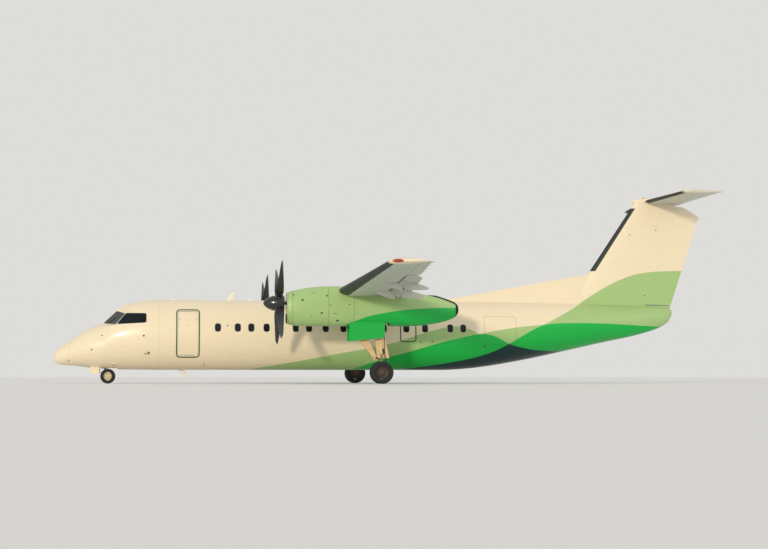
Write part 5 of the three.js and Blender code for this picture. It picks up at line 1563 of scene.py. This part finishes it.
# Places along the brake hoses: distance behind the axle, distance from the leg's middle, z
HOSE = ((92, 46, 100), (100, 62, -300), (108, 62, -700), (150, 64, -1050), (96, 66, -1330), (60, 70, -1420))
# The main leg's cross pins: x, z, half length, radius
LEG_PINS = ((11860, -935, 62, 40), (11432, -240, 128, 34), (MAIN_X + 90, -880, 58, 24))
# The torque links meet behind the leg: x, half length, half width and z of their ends
MAIN_LINKS = ((MAIN_X + 76, 14, 34, -800), (MAIN_X + 196, 14, 26, -1060), (MAIN_X + 70, 14, 34, -1370))


def main_leg_panels(y):
    """The main leg: cylinder, sliding tube, axle boss, brace, bracket, hoses and torque links."""
    top = WELL["roof"]
    leg = [tube([(MAIN_X - 50, y, top - 20), (MAIN_X - 40, y, 300), (MAIN_X - 22, y, -560),
                 (MAIN_X - 10, y, -780)], [84, 86, 90, 92], 32),
           turned([(0, 60), (0, 104), (26, 104), (40, 94), (60, 90)], (MAIN_X - 12, y, -735), (0.02, 0, -1),
                  36),
           tube([(MAIN_X - 14, y, -700), (MAIN_X - 4, y, -1100), (MAIN_X, y, MAIN_Z + 60)], 58, 28, 1),
           turned([(-74, 46.5), (-74, 84), (-66, 90), (66, 90), (74, 84), (74, 46.5)], (MAIN_X, y, MAIN_Z),
                  (0, 1, 0), 40, ring=True),
           soft_brick(MAIN_X - 160, MAIN_X + 60, y - 110, y + 110, top - 90, top - 0.5, 12),
           plate(BRACE, y, 26), plate(BRACKET, y, 30),
           soft_brick(MAIN_X - 180, MAIN_X, y - 40, y + 40, -985, -880, 14, 3)]
    for x, z, half, radius in LEG_PINS:
        leg.append(turned([(-half, 0.5), (-half, radius - 6), (6 - half, radius), (half - 6, radius),
                           (half, radius - 6), (half, 0.5)], (x, y, z), (0, 1, 0), 28, 3))
    leg.append(soft_brick(MAIN_X + 8, MAIN_X + 84, y - 88, y + 88, -800, -580, 16, 4))
    knots, fine = np.linspace(0, 1, len(HOSE)), np.linspace(0, 1, 40)
    for across in (-1, 1):
        path = np.array(HOSE, float) * (1, across, 1) + (MAIN_X, y, 0)
        leg.append(tube(np.column_stack([fair(np.column_stack([knots, row]), fine) for row in path.T]), 11,
                        10, 2))
    return leg + [plate(MAIN_LINKS[:2], y, 6, 3), plate(MAIN_LINKS[1:], y, 6, 3),
                  pin(MAIN_LINKS[1][0], y, MAIN_LINKS[1][3], 40, 15, 16, 3)]


def build_main_gear():
    """Main wheels, legs and doors."""
    for name, side in SIDES:
        y = side * ENGINE_Y
        wheels = [pin(MAIN_X, y, MAIN_Z, 300, 44.5, 32, 1)]
        for place, across in (("inner", -side), ("outer", side)):
            centre = y + across * MAIN_TYRE["offset"]
            tyre = turned(tyre_profile(MAIN_TYRE), (MAIN_X, centre, MAIN_Z), (0, 1, 0), 72, ring=True)
            make_piece(f"main_tyre_rubber_{place}_{name}", [tyre], [TYRE_RUBBER], f"main_wheels_{name}",
                       [f"main_tyre_{place}_{name}"], crease=50)
            wheels += wheel_panels(MAIN_TYRE, MAIN_X, MAIN_Z, centre, 45, across, 9)
            door_y = y + across * (WELL["half"] + 22)
            shell = closed(nacelle_points(around(10700, 12300, 100)[:, None], full_turn(96)[None], y, 0.3))
            make_piece(f"main_gear_leaf_{place}_{name}",
                       [plank(MAIN_DOOR, door_y - DOOR_HALF, door_y + DOOR_HALF)], [AIRLINER_PAINT],
                       stands_for=[f"main_gear_door_{place}_{name}"],
                       cuts=[(shell, AIRLINER_PAINT)], stripes="door")
        make_piece(f"main_wheel_rims_{name}", wheels, [HUB_ALLOY, BRAKE_STEEL], f"main_wheels_{name}",
                   [f"main_axle_hubs_{name}"])
        make_piece(f"main_leg_forging_{name}", main_leg_panels(y),
                   [LEG_ENAMEL, OLEO_CHROME, HOSE_RUBBER, LEG_STEEL, VENT_SHADE_AND_DARK_METAL],
                   stands_for=[f"main_leg_{name}"])


build_main_gear()


def steer_at(z):
    """The nose leg's line: raked ten degrees, 150 mm ahead of the axle at its level."""
    return np.array([NOSE_X - 150 + (z - NOSE_Z) * math.tan(math.radians(10)), 0.0, z])


# Sections of the fork's arm from the steering tube down to the axle
FORK = [[(x0, -half, z0), (x1, -half, z1), (x1, half, z1), (x0, half, z0)] for x0, x1, half, z0, z1 in
        ((1855, 1935, 38, -1395, -1395), (1850, 2045, 39, -1520, -1520), (1905, 2045, 38, -1612, -1638))]
# The torque links: x, half length, half width and z of their ends
NOSE_LINKS = ((1992, 12, 30, -1262), (2086, 11, 20, -1352), (1968, 12, 30, -1452))
TAXI_LAMP = ((1858, 0, -1248), (-1, 0, -0.08))
NOSE_BRACE = np.array([2330, 0, NOSE_BAY["roof"] - 60])


def build_nose_gear():
    """Nose leg, steered fork, wheels and doors."""
    roof = NOSE_BAY["roof"]
    down = steer_at(-1200) - steer_at(-800)
    leg = [tube([steer_at(z) for z in (roof - 40, -950, -1130, -1200)], [70, 74, 75, 75], 32),
           turned([(-26, 60), (-26, 84), (-6, 88), (12, 84), (12, 60)], steer_at(-1180), down, 36, 1),
           soft_brick(2090, 2250, -85, 85, roof - 90, roof - 0.5, 10),
           pin(*NOSE_BRACE, 70, 45, 24),
           tube([NOSE_BRACE, (NOSE_BRACE + steer_at(-1150)) / 2, steer_at(-1150)], [34, 30, 34], 20),
           soft_brick(2285, 2375, -70, 70, roof - 60, roof - 0.5, 8)]
    make_piece("nose_leg_forging", leg, [LEG_ENAMEL, LEG_STEEL], stands_for=["nose_leg"])
    fork = [tube([steer_at(-1201), steer_at(-1235), steer_at(-1270)], [78, 80, 76], 36, 1),
            tube([steer_at(-1240), steer_at(-1360), steer_at(-1480)], 42, 28, 2),
            slab(*FORK[:2]), slab(*FORK[1:]),
            turned([(-39, 33.5), (-39, 60), (39, 60), (39, 33.5)], (NOSE_X, 0, NOSE_Z), (0, 1, 0), 36,
                   ring=True),
            soft_brick(1790, 1870, -32, 32, -1500, -1430, 6, 1),
            plate(NOSE_LINKS[:2], 0, 6, 1), plate(NOSE_LINKS[1:], 0, 6, 1),
            pin(NOSE_LINKS[1][0], 0, NOSE_LINKS[1][3], 26, 15, 16, 1),
            turned([(-34, 0.5), (-30, 34), (-8, 50), (26, 54), (30, 50), (30, 0.5)], *TAXI_LAMP, 32, 1),
            turned([(24, 0.5), (24, 48), (33, 44), (40, 28), (43, 0.5)], *TAXI_LAMP, 32, 3),
            soft_brick(1880, 1912, -18, 18, -1290, -1210, 4, 1)]
    make_piece("nose_fork_forging", fork, [LEG_ENAMEL, LEG_STEEL, OLEO_CHROME, CLEAR_LENS], "nose_steering",
               ["nose_fork"])
    wheels = [pin(NOSE_X, 0, NOSE_Z, 190, 31.5, 28, 1)]
    for name, side in SIDES:
        centre = side * NOSE_TYRE["offset"]
        tyre = turned(tyre_profile(NOSE_TYRE), (NOSE_X, centre, NOSE_Z), (0, 1, 0), 64, ring=True)
        make_piece(f"nose_tyre_rubber_{name}", [tyre], [TYRE_RUBBER], "nose_wheels", [f"nose_tyre_{name}"],
                   crease=50)
        wheels += wheel_panels(NOSE_TYRE, NOSE_X, NOSE_Z, centre, 32, side, 6)
        door_y = side * (NOSE_BAY["half"] + 16)
        shell = closed(hull(around(1300, 1900, 40)[:, None], full_turn(96)[None], 0.3))
        make_piece(f"nose_gear_leaf_{name}", [plank(NOSE_DOOR, door_y - DOOR_HALF, door_y + DOOR_HALF)],
                   [TIP_PAINT], stands_for=[f"nose_gear_door_{name}"],
                   cuts=[(shell, TIP_PAINT)])
    make_piece("nose_wheel_rims", wheels, [HUB_CREAM, BRAKE_STEEL], "nose_wheels", ["nose_axle_hubs"])


build_nose_gear()


# Studio

# Metres: how far the floor reaches, and what the camera looks at; then pixels to the metre at that place
FLOOR_REACH = 900.0
AIM = Vector((-0.12, 0.0, 4.28))
EYE_HEIGHT = 0.25
PICTURE_WIDTH = 768
PIXELS_A_METRE = 25.43
# Name, place, strength, spread in degrees, colour
LAMPS = (("key", (-30, -62, 12.5), 1.6, 5, "fff2de"), ("fill", (50, -50, 20), 0.2, 30, "e8f0ff"))


def build_studio():
    """A pale floor that runs to a pale sky, two soft lamps, and a long lens at floor level."""
    floor = bpy.data.meshes.new("floor")
    corners = [(x * FLOOR_REACH, y * FLOOR_REACH, 0) for x, y in ((-1, -1), (1, -1), (1, 1), (-1, 1))]
    floor.from_pydata(corners, [], [(0, 1, 2, 3)])
    ground = bpy.data.objects.new("studio_floor", floor)
    bpy.context.scene.collection.objects.link(ground)
    # Sealed concrete, painted: almost white, matt
    floor.materials.append(mottled("pale_studio_floor", "e9e9e8", "e7e7e6", 0.4, 0.95, rough_swing=0.0,
                                   ior=1.1))
    world = bpy.data.worlds.new("studio_sky")
    bpy.context.scene.world = world
    world.use_nodes = True
    world.node_tree.nodes["Background"].inputs[0].default_value = colour("f2f1ee")
    world.node_tree.nodes["Background"].inputs[1].default_value = 0.82
    bpy.context.scene.view_settings.view_transform = "Standard"
    for name, place, strength, spread, tint in LAMPS:
        data = bpy.data.lights.new(name, "SUN")
        data.angle = math.radians(spread)
        data.energy = strength
        data.color = colour(tint)[:3]
        lamp = bpy.data.objects.new(name, data)
        bpy.context.scene.collection.objects.link(lamp)
        lamp.location = place
        lamp.rotation_euler = (-Vector(place)).to_track_quat("-Z", "Y").to_euler()
    lens = bpy.data.cameras.new("long_lens")
    camera = bpy.data.objects.new("camera", lens)
    bpy.context.scene.collection.objects.link(camera)
    distance, azimuth = 60.0, math.radians(-8.2)
    camera.location = (AIM[0] + math.sin(azimuth) * distance, -math.cos(azimuth) * distance, EYE_HEIGHT)
    camera.rotation_euler = (AIM - camera.location).to_track_quat("-Z", "Y").to_euler()
    lens.sensor_width = 36.0
    lens.lens = 36.0 * distance / (PICTURE_WIDTH / PIXELS_A_METRE)
    lens.clip_end = 4000
    bpy.context.scene.camera = camera


build_studio()
